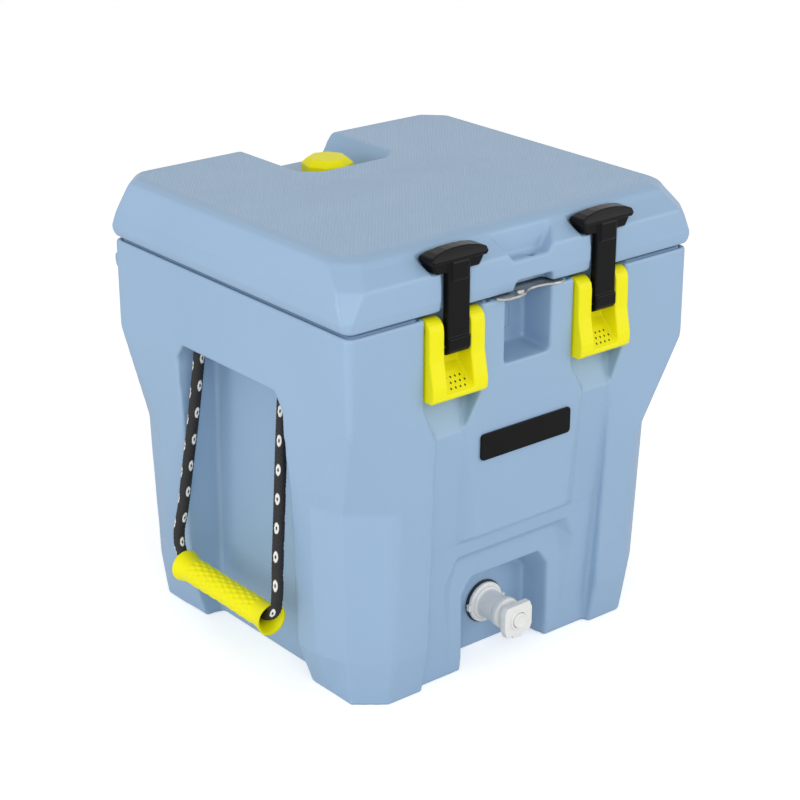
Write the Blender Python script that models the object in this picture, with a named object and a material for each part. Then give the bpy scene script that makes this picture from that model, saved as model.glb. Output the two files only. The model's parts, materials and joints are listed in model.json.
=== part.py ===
"""Insulated beverage dispenser: a foam-filled box with a hinged lid, two T latches,
a screw-capped filler, a push-button spigot and two rope handles.

Sizes are in millimetres and become metres when a mesh is made. X is to the right seen
from the front, the front faces -Y, Z is up, and the origin is on the floor under the
middle of the box.
"""

import math

import bmesh
import bpy
from mathutils import Matrix, Vector

MM = 0.001
GAP = 0.3  # clearance between pieces that touch
WALL = 4.0  # thickness of the moulded blue shells
FAR = 40.0  # how far a cutter runs on past the face that it cuts
ROD_TURN = 0.07  # radians

# Body, at its rim
HALF_X = 215.0
HALF_Y = 193.0
RIM = 397.0
FOOT_BEVEL = 50.0
POST_TOP = 210.0
SHOULDER = RIM - 94.0
# Corner outline at each height, from the side face to the front face, as insets from the rim
CORNER_FOOT = ((31, 75), (31, 41), (58, 19), (67, 19))
CORNER_BEVEL = ((13, 73), (23.5, 38), (56.5, 11.5), (64, 9))
CORNER_POST = ((8, 72), (17, 35), (53, 6), (62, 2))
CORNER_SHOULDER = ((0.8, 6), (1.6, 3), (3.2, 1.3), (6, 0.6))
CORNER_RIM = ((0, 8), (1.1, 4), (4, 1.1), (8, 0))
BACK_CORNER = 0.8  # size of a back corner's insets beside a front corner's
LEDGE_TOP = RIM - 18.0
LEDGE_LOW = RIM - 117.0
LEDGE_REACH = 8.0
LEDGE_HALF = HALF_X - 3.5
LEDGE_TAPER = 14.0

# Tank
TANK_WALL = 3.0
TANK_TOP_X = HALF_X - 53.0
TANK_TOP_Y = HALF_Y - 50.0
TANK_FLOOR_X = HALF_X - 72.0
TANK_FLOOR_Y = HALF_Y - 74.0
TANK_FLOOR = 27.0
TANK_CORNER = 30.0
FLANGE = 4.0

# Front of the body
POST_INNER = 112.0
PANEL_HALF = 78.0
PANEL_LOW = 151.0
PANEL_BEVEL = 18.0
STRIP_AT_FLOOR = HALF_Y - 26.0
STRIP_RISE = 17.0 / 210.0
STRIP_TOP = RIM - 112.0
STRIP_STEP = 0.5
ARCH_PLANE = HALF_Y - 25.0
CAVITY_BACK = HALF_Y - 59.0
POCKET_BACK = HALF_Y - 21.0
NICHE_HALF = 30.0
NICHE_LOW = RIM - 69.0
NICHE_BACK = HALF_Y - 39.0

# Side handle recesses and ropes
RECESS_TOP = RIM - 83.0
RECESS_PLANE = HALF_X - 46.0
ROPE_RADIUS = 6.0
ROPE_HOLE = 6.7
ROPE_BEND = 24.0
ROPE_X = HALF_X - 17.0
ROPE_Y = 70.0
PIVOT_Z = RECESS_TOP - 6.5
KNOT_RADIUS = 10.0
KNOT_HEIGHT = 19.0
KNOT_ROOM = 12.0
GRIP_X = HALF_X + 7.0
GRIP_HALF = 75.0
GRIP_BORE = 8.0
GRIP_RADIUS = 12.5
GRIP_STRAIGHT = GRIP_HALF - 14.0
GRIP_LIP = 1.3  # thickness of the grip's flared ends
ROPE_LOW = 77.0
ROPE_STEP = 5 * ROPE_RADIUS
ROPE_TURN = 0.3  # radians
GRIP_Z = ROPE_LOW + ROPE_RADIUS + GAP - GRIP_BORE

# Lid
SEAM = 3.0
LID_BASE = RIM + SEAM
LID_HEIGHT = 62.0
LID_TOP = LID_BASE + LID_HEIGHT
# Height over the lid's base, overhang past the body at the sides, front and back, corner chamfer
LID_RINGS = (
    (0, 0.0, 0.0, 0.0, 6),
    (5, 3.0, 1.5, 1.0, 6),
    (11, 5.0, 2.5, 2.0, 7),
    (27, 4.0, 2.5, 2.0, 14),
    (38, 1.0, 2.0, 1.5, 18),
    (52, -4.0, -12.0, -0.5, 21),
    (58, -6.5, -16.5, -2.0, 22),
    (LID_HEIGHT, -13.0, -25.0, -6.5, 21),
)
POCKET_FLOOR = LID_TOP - 27.0
LEDGE_Z = LID_TOP - 24.0
PLATE = 4.0
PLUG_DROP = 12.0
PLUG_CLEAR = 3.5

# Latches
LATCH_X = 93.0
LEVER_HALF = 33.2
LEVER_PIN_Y = HALF_Y - 6.0
LEVER_PIN_Z = RIM - 13.0
LEVER_ROUND = 11.5
LEVER_LOW = RIM - 82.0
LEVER_REACH = HALF_Y + 11.0
LEVER_PIN_RADIUS = 2.2
LEVER_PIN_HALF = 37.0
STRAP_PIN_Y = HALF_Y + 1.0
STRAP_PIN_Z = RIM - 31.0
STRAP_PIN_RADIUS = 1.8
STRAP_HALF = 13.0
STRAP_THICK = 8.0
CHANNEL_HALF = 16.0
FOOT_RADIUS = 8.0
BAR_LOW = LEDGE_Z + GAP
BAR_HALF = 33.0
BAR_FOOT_HALF = 25.0
BAR_BACK = HALF_Y - 13.0

# Hinge: the axis lies behind the wall, so that the back reach equals the levers' front reach
KNUCKLE = 7.0
HINGE_Y = LEVER_REACH - KNUCKLE
HINGE_Z = RIM + 1.0
HINGE_X = 120.0
HINGE_HALF = 30.0
LID_KNUCKLE_HALF = 10.5
KNUCKLE_GAP = 0.5
HINGE_PIN_RADIUS = 2.5
KNUCKLE_ROOM = 0.8

# Bottle opener plate
OPENER_HALF = 43.0
OPENER_THICK = 2.0
OPENER_REACH = HALF_Y + 10.0
SCREW_X = 40.0
SCREW_Y = HALF_Y - 12.0
SCREW_HEAD = 4.2
SCREW_SHANK = 2.0
SCREW_LENGTH = 16.0
BOSS = (34.0, 46.5, 21.0)

# Badge plate
BADGE_HALF = 58.0
BADGE_LOW = 238.0
BADGE_HIGH = 265.0
BADGE_THICK = 2.0

# Filler
FILL_Y = HALF_Y - 75.0
NECK_BORE = 17.5
NECK_RADIUS = 21.0
NECK_FLANGE = 25.0
NECK_FLANGE_THICK = 2.0
THREAD_PITCH = 4.0
THREAD_DEPTH = 0.8
THREAD_CLEAR = 0.4
GASKET_THICK = 2.0
CAP_RADIUS = 25.0
CAP_TOP = LID_TOP - 2.0
CAP_PLUG_DEPTH = 14.0
CAP_SIDES = 8
CAP_TURN = 5.0

# Spigot, on an axis along Y
SPIGOT_Z = 47.0
TAIL_RADIUS = 8.0
TAIL_BORE = 6.2
BARREL = 15.0
SPIGOT_FLANGE = 21.5
SPIGOT_FLANGE_THICK = 4.0
OUTER_SEAL = 23.0
SEAL_THICK = 2.0
BARREL_LENGTH = 23.0
COLLAR = 16.5
COLLAR_LENGTH = 9.0
NECK = 11.0
WING_FRONT = HALF_Y - 4.0
WING_THICK = 7.0
WING_HALF_X = 18.0
WING_HALF_Z = 16.5
BUTTON_RADIUS = 8.0
BUTTON_BORE = 8.4
STEM = 2.6
STEM_BORE = 3.0
BUTTON_PROUD = 3.5
BUTTON_LENGTH = 8.0
SPRING_ROOM = 14.0
TANK_PAD = 18.5
NUT_RADIUS = 17.0
NUT_THICK = 7.0

BLUE = ((0.30, 0.45, 0.62, 1.0), 0.45, 0.0)
YELLOW = ((0.80, 0.80, 0.02, 1.0), 0.4, 0.0)
BLACK = ((0.015, 0.015, 0.017, 1.0), 0.55, 0.0)
WHITE = ((0.80, 0.80, 0.78, 1.0), 0.35, 0.0)
STEEL = ((0.55, 0.53, 0.50, 1.0), 0.3, 1.0)
FOAM = ((0.85, 0.78, 0.55, 1.0), 0.9, 0.0)
RUBBER = ((0.03, 0.03, 0.035, 1.0), 0.7, 0.0)


# Meshes


def solid(name, vertices, faces):
    """Make an object from points in millimetres and faces, with its faces turned outwards."""
    mesh = bpy.data.meshes.new(name)
    work = bmesh.new()
    points = [work.verts.new(Vector(point) * MM) for point in vertices]
    for face in faces:
        work.faces.new([points[index] for index in face])
    bmesh.ops.recalc_face_normals(work, faces=work.faces)
    work.to_mesh(mesh)
    work.free()
    made = bpy.data.objects.new(name, mesh)
    bpy.context.scene.collection.objects.link(made)
    return made


def hull(name, points):
    """Make the smallest convex solid round the points."""
    mesh = bpy.data.meshes.new(name)
    work = bmesh.new()
    for point in points:
        work.verts.new(Vector(point) * MM)
    made = bmesh.ops.convex_hull(work, input=work.verts)
    spare = {item for item in made["geom_interior"] + made["geom_unused"] if isinstance(item, bmesh.types.BMVert)}
    bmesh.ops.delete(work, geom=list(spare), context="VERTS")
    bmesh.ops.dissolve_limit(work, angle_limit=0.0002, verts=work.verts, edges=work.edges)
    bmesh.ops.recalc_face_normals(work, faces=work.faces)
    work.to_mesh(mesh)
    work.free()
    made = bpy.data.objects.new(name, mesh)
    bpy.context.scene.collection.objects.link(made)
    return made


def loft(name, rings):
    """Join rings of equally many points, from the lowest to the highest, and close both ends."""
    count = len(rings[0])
    faces = [tuple(range(count)), tuple(range(count * (len(rings) - 1), count * len(rings)))]
    for level in range(len(rings) - 1):
        for index in range(count):
            after = (index + 1) % count
            low, high = level * count, (level + 1) * count
            faces.append((low + index, low + after, high + after, high + index))
    return solid(name, [point for ring in rings for point in ring], faces)


def prism(name, outline, axis, low, high):
    """Extrude an outline, given in the two other axes in X, Y, Z order, along an axis."""
    place = {"x": lambda a, b, t: (t, a, b), "y": lambda a, b, t: (a, t, b), "z": lambda a, b, t: (a, b, t)}[axis]
    return loft(name, [[place(a, b, t) for a, b in outline] for t in (low, high)])


def turned(name, profile, centre, axis="z", sides=24, first=0.0):
    """Turn a closed profile of (radius, place along the axis, thread depth) round an axis.

    The thread is a rounded one: the radius rises and falls by the thread depth once for each
    pitch along the axis, and moves on by one pitch in each turn.
    """
    vertices, rings = [], []
    for radius, along, *depth in profile:
        ring = []
        for index in range(sides if radius > 0 else 1):
            angle = first + 2 * math.pi * index / sides
            wave = math.cos(2 * math.pi * along / THREAD_PITCH - angle)
            reach = radius + (depth[0] * wave if depth else 0.0)
            across, beside = reach * math.cos(angle), reach * math.sin(angle)
            point = {"x": (along, across, beside), "y": (across, along, beside), "z": (across, beside, along)}[axis]
            ring.append(len(vertices))
            vertices.append(Vector(point) + Vector(centre))
        rings.append(ring)
    faces = []
    for ring, other in zip(rings, rings[1:] + rings[:1]):
        for index in range(sides):
            after = (index + 1) % sides
            corners = [ring[index % len(ring)], ring[after % len(ring)]]
            corners += [other[after % len(other)], other[index % len(other)]]
            face = list(dict.fromkeys(corners))
            if len(face) > 2:
                faces.append(face)
    return solid(name, vertices, faces)


def rod(name, radius, low, high, centre, axis, sides=20):
    """Make a plain cylinder from low to high along an axis, turned so that no corner lies on a centre plane."""
    return turned(name, [(0, low), (radius, low), (radius, high), (0, high)], centre, axis, sides, ROD_TURN)


def combine(target, tools, operation="DIFFERENCE"):
    """Cut the tools out of the target, or join them to it, and remove them."""
    for tool in tools:
        tool.hide_render = True
        tool.display_type = "WIRE"
        cut = target.modifiers.new("cut", "BOOLEAN")
        cut.operation = operation
        cut.solver = "EXACT"
        cut.object = tool
        seen = target.evaluated_get(bpy.context.evaluated_depsgraph_get())
        mesh = bpy.data.meshes.new_from_object(seen)
        target.modifiers.clear()
        target.data = mesh
        bpy.data.objects.remove(tool)
    return target


def join(target, *tools):
    """Unite the tools with the target."""
    return combine(target, tools, "UNION")


def finished(piece, name, finish, origin=(0, 0, 0), smooth=None):
    """Name a piece, give it its own material, and move its origin to a point."""
    colour, roughness, metallic = finish
    piece.name = name
    material = bpy.data.materials.new(name)
    material.use_nodes = True
    shader = material.node_tree.nodes["Principled BSDF"]
    shader.inputs["Base Color"].default_value = colour
    shader.inputs["Roughness"].default_value = roughness
    shader.inputs["Metallic"].default_value = metallic
    piece.data.materials.clear()
    piece.data.materials.append(material)
    place = Vector(origin) * MM
    if piece.type == "MESH":
        piece.data.transform(Matrix.Translation(-place))
        piece.location = place
        if smooth:
            piece.data.shade_smooth()
            piece.data.set_sharp_from_angle(angle=math.radians(smooth))
    return piece


def corner_ring(corner, height, inset=0.0):
    """Give the outline of the body at one height from its corner's insets."""
    ring = []
    for sign_x, sign_y in ((1, 1), (-1, 1), (-1, -1), (1, -1)):
        size = BACK_CORNER if sign_y > 0 else 1.0
        quarter = [(HALF_X - size * x - inset, HALF_Y - size * y - inset) for x, y in corner]
        part = [(sign_x * x, sign_y * y, height) for x, y in quarter]
        ring += part if sign_x * sign_y > 0 else part[::-1]
    return ring


def rounded_ring(half_x, half_y, radius, height, steps=4):
    """Give a rectangle with rounded corners at one height."""
    ring = []
    for quarter, (sign_x, sign_y) in enumerate(((1, 1), (-1, 1), (-1, -1), (1, -1))):
        for step in range(steps + 1):
            angle = math.pi / 2 * (quarter + step / steps)
            x = sign_x * (half_x - radius) + radius * math.cos(angle)
            y = sign_y * (half_y - radius) + radius * math.sin(angle)
            ring.append((x, y, height))
    return ring


def mirrored(points):
    """Give the points and their mirror images in X."""
    return [(sign * x, y, z) for sign in (-1, 1) for x, y, z in points]


def arc(centre, radius, start, end, steps):
    """Give points on an arc, with angles in degrees."""
    angles = [math.radians(start + (end - start) * step / steps) for step in range(steps + 1)]
    return [(centre[0] + radius * math.cos(a), centre[1] + radius * math.sin(a)) for a in angles]


# Body


def levels_between(levels, low, high):
    """Give (height, values) at low, at each level between, and at high, read off straight lines."""

    def read(height):
        if height <= levels[0][0]:
            return levels[0][1]
        for (below, first), (above, second) in zip(levels, levels[1:]):
            if height <= above:
                share = (height - below) / (above - below)
                return [a + (b - a) * share for a, b in zip(first, second)]
        return levels[-1][1]

    middle = [(height, values) for height, values in levels if low + 0.01 < height < high - 0.01]
    return [(low, read(low)), *middle, (high, read(high))]


def body_block(inset, low, high):
    """Make the body's outer form, drawn in by an inset, between two heights."""
    corners = ((0.0, CORNER_FOOT), (FOOT_BEVEL, CORNER_BEVEL), (POST_TOP, CORNER_POST))
    corners += ((SHOULDER, CORNER_SHOULDER), (RIM, CORNER_RIM))
    levels = [(height, [value for point in corner for value in point]) for height, corner in corners]
    rings = []
    for height, flat in levels_between(levels, low, high):
        rings.append(corner_ring(list(zip(flat[::2], flat[1::2])), height, inset))
    return loft("block", rings)


def strip_plane(height):
    """Give how far forward the recessed strip beside the panel lies at a height."""
    return STRIP_AT_FLOOR + STRIP_RISE * height


def side_recess(side, grow):
    """Make the cutter for the hollow that a rope handle hangs in."""
    points = []
    for x, spread in ((RECESS_PLANE - grow, 0.0), (HALF_X + FAR, 9.0)):
        for y, z in ((72, RECESS_TOP), (83, RECESS_TOP - 15), (88, -FAR)):
            points += [(side * x, sign * (y + spread + grow), z + (grow if z > 0 else 0)) for sign in (-1, 1)]
    return hull("side_recess", points)


def spigot_cavity(grow):
    """Make the cutter for the hollow round the spigot."""
    back = [(41, 84), (54, 70)]
    front = [(45.5, 111), (58.5, 92.5)]
    points = []
    for y, outline in ((-(CAVITY_BACK - grow), back), (-(CAVITY_BACK + 51), front)):
        points += [(x + grow, y, z + grow) for x, z in outline] + [(outline[1][0] + grow, y, -FAR)]
    return hull("cavity", mirrored(points))


def arch(grow):
    """Make the cutter for the arched surround of the spigot cavity."""
    points = []
    for y, outline in (
        (-(ARCH_PLANE - grow), ((64, 126), (74, 94), (72, -FAR))),
        (-(ARCH_PLANE + 13), ((76, 137), (100, 96), (100, -FAR))),
    ):
        points += [(x + grow, y, z + (grow if z > 0 else 0)) for x, z in outline]
    return hull("arch", mirrored(points))


def lower_strip(grow):
    """Make the cutter for the recessed plane under the badge panel."""
    front = -(HALF_Y + FAR / 2)
    top = PANEL_LOW + grow
    points = [
        (POST_INNER + grow, -(strip_plane(-FAR) - grow), -FAR),
        (POST_INNER + grow, -(strip_plane(PANEL_LOW) - grow), top),
        (POST_INNER + grow, front, -FAR),
        (POST_INNER + grow, front, top + PANEL_BEVEL),
    ]
    return hull("lower_strip", mirrored(points))


def side_strip(side, grow):
    """Make the cutter for the recessed plane between a corner post and the badge panel.

    It is a little shallower and wider than the plane under the panel, so that the two
    cutters share no face.
    """
    front = -(HALF_Y + FAR / 2)
    outer = POST_INNER + STRIP_STEP + grow
    points = []
    for z in (-FAR / 2, STRIP_TOP + grow):
        plane = -(strip_plane(z) + STRIP_STEP - grow)
        points += [(PANEL_HALF - grow, plane, z), (outer, plane, z)]
        points += [(PANEL_HALF - 49 - grow, front, z), (outer, front, z)]
    return hull("side_strip", [(side * x, y, z) for x, y, z in points])


def lever_pocket(side, grow):
    """Make the cutter for the pocket that holds a latch lever, with its finger ramp."""
    front, back = -(HALF_Y + FAR / 2), -(POCKET_BACK - grow)
    top, step, ramp = RIM + FAR, RIM - 86 - grow, RIM - 124 - grow
    inner, outer = LATCH_X - 36 - grow, LATCH_X + 36 + grow
    points = [(POST_INNER + grow, front, ramp), (PANEL_HALF + 1 - grow, front, ramp)]
    points += [(x, front, z) for x in (inner, outer) for z in (step, top)]
    points += [(x, back, z) for x in (inner + 3, outer - 3) for z in (step - 6, top)]
    plane = -(strip_plane(ramp) + 2 * STRIP_STEP - grow)
    points += [(POST_INNER + grow, plane, ramp), (PANEL_HALF + 1 - grow, plane, ramp)]
    return hull("pocket", [(side * x, y, z) for x, y, z in points])


def niche(grow):
    """Make the cutter for the hollow under the bottle opener."""
    front, back = -(HALF_Y + FAR / 2), -(NICHE_BACK - grow)
    points = [(NICHE_HALF + grow, front, z) for z in (NICHE_LOW - grow, RIM + FAR)]
    points += [(NICHE_HALF - 2 + grow, back, z) for z in (NICHE_LOW + 6 - grow, RIM + FAR)]
    return hull("niche", mirrored(points))


def hinge_notch(side, grow):
    """Make the cutter that gives the lid's knuckle room in the body's back wall."""
    reach = LID_KNUCKLE_HALF + KNUCKLE_GAP + grow
    middle = side * HINGE_X
    radius = KNUCKLE + KNUCKLE_ROOM + grow
    return rod("notch", radius, middle - reach, middle + reach, (0, HINGE_Y, HINGE_Z), "x", 24)


def body_recesses(grow):
    """Make every cutter of the body's outer form, all drawn outwards by the same amount."""
    cutters = [spigot_cavity(grow), arch(grow), lower_strip(grow), niche(grow)]
    for side in (-1, 1):
        cutters += [side_recess(side, grow), side_strip(side, grow), lever_pocket(side, grow)]
        cutters.append(hinge_notch(side, grow))
    return cutters


def screw_boss(side, grow):
    """Make the block of shell that holds an opener screw."""
    low, high, drop = BOSS
    points = []
    for x in (low - grow, high + grow):
        for y in (-(HALF_Y + grow), -(HALF_Y - drop - grow)):
            points += [(side * x, y, z) for z in (RIM - 26 - grow, RIM + FAR)]
    return hull("boss", points)


def body_knuckles(side):
    """Make the two knuckles of one hinge that belong to the body."""
    knuckles = []
    for end in (-1, 1):
        near = LID_KNUCKLE_HALF + KNUCKLE_GAP
        points = []
        for x in (side * HINGE_X + end * near, side * HINGE_X + end * HINGE_HALF):
            points += [(x, HINGE_Y + a, HINGE_Z + b) for a, b in arc((0, 0), KNUCKLE, 0, 337.5, 15)]
            points += [(x, y, z) for y in (HALF_Y - 2.5, HALF_Y + 7) for z in (LEDGE_TOP - 4, LEDGE_TOP + 5)]
        knuckles.append(hull("knuckle", points))
    return knuckles


def make_outer_shell():
    """Make the blue body shell: a thin wall round the foam, open at the rim."""
    shell = combine(body_block(0.0, 0.0, RIM), body_recesses(0.0))
    high = HALF_Y + LEDGE_REACH
    ledge = [(LEDGE_HALF, y, z) for y, z in ((HALF_Y - 3, LEDGE_TOP), (high, LEDGE_TOP), (high, LEDGE_TOP - 6))]
    ledge.append((LEDGE_HALF - LEDGE_TAPER, HALF_Y - 3, LEDGE_LOW))
    join(shell, hull("ledge", mirrored(ledge)))
    space = combine(body_block(WALL, WALL, RIM + FAR / 2), body_recesses(WALL))
    combine(space, [screw_boss(side, 0.0) for side in (-1, 1)])
    combine(shell, [space])
    for side in (-1, 1):
        join(shell, *body_knuckles(side))
        middle = side * HINGE_X
        bore = HINGE_PIN_RADIUS + GAP
        combine(shell, [rod("bore", bore, middle - FAR, middle + FAR, (0, HINGE_Y, HINGE_Z), "x", 16)])
        reach = LEVER_PIN_HALF + GAP
        pin = (0, -LEVER_PIN_Y, LEVER_PIN_Z)
        middle = side * LATCH_X
        combine(shell, [rod("bore", LEVER_PIN_RADIUS + GAP, middle - reach, middle + reach, pin, "x", 16)])
        hole = SCREW_SHANK + GAP
        screw = (side * SCREW_X, -SCREW_Y, 0)
        combine(shell, [rod("bore", hole, RIM - SCREW_LENGTH - 2, RIM + 5, screw, "z", 16)])
        for end in (-1, 1):
            place = (side * ROPE_X, end * ROPE_Y, 0)
            combine(shell, [rod("bore", ROPE_HOLE, RECESS_TOP - 5, RECESS_TOP + WALL + 5, place, "z", 20)])
    tail = TAIL_RADIUS + GAP
    combine(shell, [rod("bore", tail, -CAVITY_BACK - 5, -CAVITY_BACK + WALL + 5, (0, 0, SPIGOT_Z), "y", 24)])
    return finished(shell, "outer_shell", BLUE, smooth=25)


def tank_form(grow, low, high):
    """Make the tank's tapered form, drawn outwards by grow."""
    span = RIM - TANK_FLOOR
    rings = []
    for z in (low, high):
        share = (z - TANK_FLOOR) / span
        half_x = TANK_FLOOR_X + (TANK_TOP_X - TANK_FLOOR_X) * share + grow
        half_y = TANK_FLOOR_Y + (TANK_TOP_Y - TANK_FLOOR_Y) * share + grow
        rings.append(rounded_ring(half_x, half_y, TANK_CORNER + grow, z))
    return loft("tank", rings)


def tank_pad_faces():
    """Give where the spigot's flat pad on the tank wall starts and ends along Y."""
    wall = TANK_FLOOR_Y + (TANK_TOP_Y - TANK_FLOOR_Y) * (SPIGOT_Z - TANK_FLOOR) / (RIM - TANK_FLOOR)
    return -(wall + TANK_WALL + 1.5), -(wall - 2.5)


def make_tank():
    """Make the inner liner: the tank, its flange under the rim and the spigot's pad."""
    tank = tank_form(TANK_WALL, TANK_FLOOR - TANK_WALL, RIM - 1)
    flange = combine(body_block(WALL + GAP, RIM - FLANGE, RIM), body_recesses(WALL + GAP))
    combine(flange, [screw_boss(side, GAP) for side in (-1, 1)])
    join(tank, flange)
    start, end = tank_pad_faces()
    join(tank, rod("pad", TANK_PAD, start, end, (0, 0, SPIGOT_Z), "y", 32))
    inner = tank_form(0.0, TANK_FLOOR, RIM + FAR)
    combine(inner, [rod("pad", TANK_PAD, start, end, (0, 0, SPIGOT_Z), "y", 32)])
    combine(tank, [inner])
    combine(tank, [rod("bore", TAIL_RADIUS + GAP, start - 9, end + 9, (0, 0, SPIGOT_Z), "y", 24)])
    return finished(tank, "inner_liner", WHITE, smooth=25)


def make_body_foam():
    """Make the foam between the body shell and the tank."""
    foam = combine(body_block(WALL + GAP, WALL + GAP, RIM - FLANGE - GAP), body_recesses(WALL + GAP))
    combine(foam, [screw_boss(side, GAP) for side in (-1, 1)])
    combine(foam, [tank_form(TANK_WALL + GAP, TANK_FLOOR - TANK_WALL - GAP, RIM + FAR)])
    start, end = tank_pad_faces()
    bore, pad = TAIL_RADIUS + GAP, TANK_PAD + GAP
    room = [(0, -CAVITY_BACK), (bore, -CAVITY_BACK), (bore, start - GAP), (pad, start - GAP), (pad, end), (0, end)]
    combine(foam, [turned("room", room, (0, 0, SPIGOT_Z), "y", 32, ROD_TURN)])
    for side in (-1, 1):
        for end in (-1, 1):
            place = (side * ROPE_X, end * ROPE_Y, 0)
            low, high = RECESS_TOP, RECESS_TOP + WALL + KNOT_HEIGHT + 3
            combine(foam, [rod("room", KNOT_ROOM, low, high, place, "z", 20)])
    return finished(foam, "body_foam", FOAM)


def make_badge():
    """Make the bare badge plate with rounded corners."""
    middle = (BADGE_LOW + BADGE_HIGH) / 2
    half = (BADGE_HIGH - BADGE_LOW) / 2
    outline = [(x, middle + y) for x, y, _ in rounded_ring(BADGE_HALF, half, 4.0, 0)]
    back = HALF_Y - 1.1
    return finished(prism("badge", outline, "y", -back, -(back + BADGE_THICK)), "badge_plate", BLACK)


# Bottle opener


def make_opener():
    """Make the steel opener plate with its wavy front edge, lug and countersunk holes."""
    reach, back = OPENER_REACH, HALF_Y - 25
    wave = [(-OPENER_HALF, reach - 8), (-OPENER_HALF + 4, reach - 2), (-33, reach), (-20, reach - 0.5)]
    wave += [(-11, reach - 3), (-4, reach - 8.5), (3, reach - 11), (12, reach - 11.5), (22, reach - 10)]
    wave += [(30, reach - 7), (37, reach - 5.5), (OPENER_HALF, reach - 8)]
    outline = [(x, -y) for x, y in wave] + [(OPENER_HALF, -back), (-OPENER_HALF, -back)]
    low = RIM + GAP
    plate = prism("opener", outline, "z", low, low + OPENER_THICK)
    lug = turned("lug", [(0, low + 1), (4.5, low + 1), (4.5, low + 3.4), (3.5, low + 4.2), (0, low + 4.2)],
                 (-13, -(HALF_Y + 0.5), 0), "z", 20)
    join(plate, lug)
    for side in (-1, 1):
        top = low + OPENER_THICK
        sink = [(0, low - 1), (SCREW_SHANK + GAP, low - 1), (SCREW_SHANK + GAP, low)]
        sink += [(SCREW_HEAD + GAP, top), (SCREW_HEAD + GAP, top + 1), (0, top + 1)]
        combine(plate, [turned("sink", sink, (side * SCREW_X, -SCREW_Y, 0), "z", 20)])
    return finished(plate, "bottle_opener_plate", STEEL)


def make_opener_screws():
    """Make the two countersunk screws of the opener plate."""
    low = RIM + GAP
    top = low + OPENER_THICK
    for side, name in ((-1, "left"), (1, "right")):
        profile = [(0, RIM - SCREW_LENGTH), (SCREW_SHANK, RIM - SCREW_LENGTH), (SCREW_SHANK, low)]
        profile += [(SCREW_HEAD, top), (0, top)]
        screw = turned("screw", profile, (side * SCREW_X, -SCREW_Y, 0), "z", 16)
        finished(screw, f"opener_screw_{name}", STEEL, smooth=40)


# Lid


def lid_block(inset, low, high):
    """Make the lid's outer form, drawn in by an inset, from low to high."""
    levels = [(LID_BASE + ring[0] - (inset if ring[0] > 30 else 0), ring[1:]) for ring in LID_RINGS]
    rings = []
    for z, (side, front, back, cut) in levels_between(levels, low, high):
        x, near, far = HALF_X + side - inset, -(HALF_Y + front - inset), HALF_Y + back - inset
        ring = [(x, far - cut), (x - cut, far), (cut - x, far), (-x, far - cut)]
        ring += [(-x, near + cut), (cut - x, near), (x - cut, near), (x, near + cut)]
        rings.append([(a, b, z) for a, b in ring])
    return loft("lid", rings)


def rear_pocket(grow):
    """Make the cutter for the pocket round the fill cap, open to the back."""
    points = []
    for z, spread in ((POCKET_FLOOR - grow, 0.0), (LID_TOP + 13, 12.0 * 40 / 27)):
        outline = [(30, FILL_Y - 34), (48, FILL_Y - 18), (48, HALF_Y + FAR)]
        points += [(x + spread + grow, y - (spread + grow if y < HALF_Y else 0), z) for x, y in outline]
    return hull("rear_pocket", mirrored(points))


def bar_recess(side, grow):
    """Make the cutter for the recess that a T bar sits in."""
    points = []
    for x, z in ((28, LEDGE_Z - grow), (37, LEDGE_Z + 17), (37, LID_TOP + FAR)):
        for sign in (-1, 1):
            across = side * LATCH_X + sign * (x + grow)
            points += [(across, y, z) for y in (-(BAR_BACK - 2 - grow), -(HALF_Y + FAR))]
    return hull("bar_recess", points)


def strap_slot(side, grow):
    """Make the cutter for the slot that a strap runs in."""
    half = CHANNEL_HALF + grow
    middle = side * LATCH_X
    back = -(HALF_Y - 4 - grow)
    outline = [(middle - half, -(HALF_Y + FAR)), (middle + half, -(HALF_Y + FAR)), (middle + half, back)]
    return prism("slot", outline + [(middle - half, back)], "z", LID_BASE - FAR, LEDGE_Z + 2)


def scoop(grow):
    """Make the cutter for the hollow in the middle of the lid's front."""
    points = []
    for z, half in ((LEDGE_Z - 7 - grow, 22.0), (LID_TOP + 8, 50.0)):
        points += [(half + grow, y, z) for y in (-(HALF_Y - 13 - (z - LEDGE_Z) * 0.1 - grow), -(HALF_Y + FAR))]
    return hull("scoop", mirrored(points))


def opener_notch(grow):
    """Make the cutter for the room over the bottle opener in the lid's lower edge."""
    points = []
    for y in (-(HALF_Y - 14 - grow), -(HALF_Y + FAR)):
        for x, z in ((-26, LID_BASE - FAR), (38, LID_BASE - FAR), (-18, LID_BASE + 10), (28, LID_BASE + 10)):
            points.append((x + (grow if x > 0 else -grow), y, z + (grow if z > LID_BASE else 0)))
    return hull("opener_notch", points)


def lock_hole(grow):
    """Make the cutter for the padlock hole between the scoop and the notch."""
    place = (4, -(HALF_Y - 6), 0)
    return rod("lock_hole", 4.0 + grow, LID_BASE, LEDGE_Z, place, "z", 16)


def knuckle_rooms(side, grow):
    """Make the cutters that give the body's knuckles room in the lid."""
    rooms = []
    for end in (-1, 1):
        ends = [side * HINGE_X + end * (LID_KNUCKLE_HALF - grow), side * HINGE_X + end * (HINGE_HALF + 2 + grow)]
        radius = KNUCKLE + KNUCKLE_ROOM + grow
        rooms.append(rod("room", radius, min(ends), max(ends), (0, HINGE_Y, HINGE_Z), "x", 24))
    return rooms


def lid_recesses(grow):
    """Make every cutter of the lid's outer form."""
    cutters = [rear_pocket(grow), scoop(grow), opener_notch(grow), lock_hole(grow)]
    for side in (-1, 1):
        cutters += [bar_recess(side, grow), strap_slot(side, grow), *knuckle_rooms(side, grow)]
    return cutters


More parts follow.
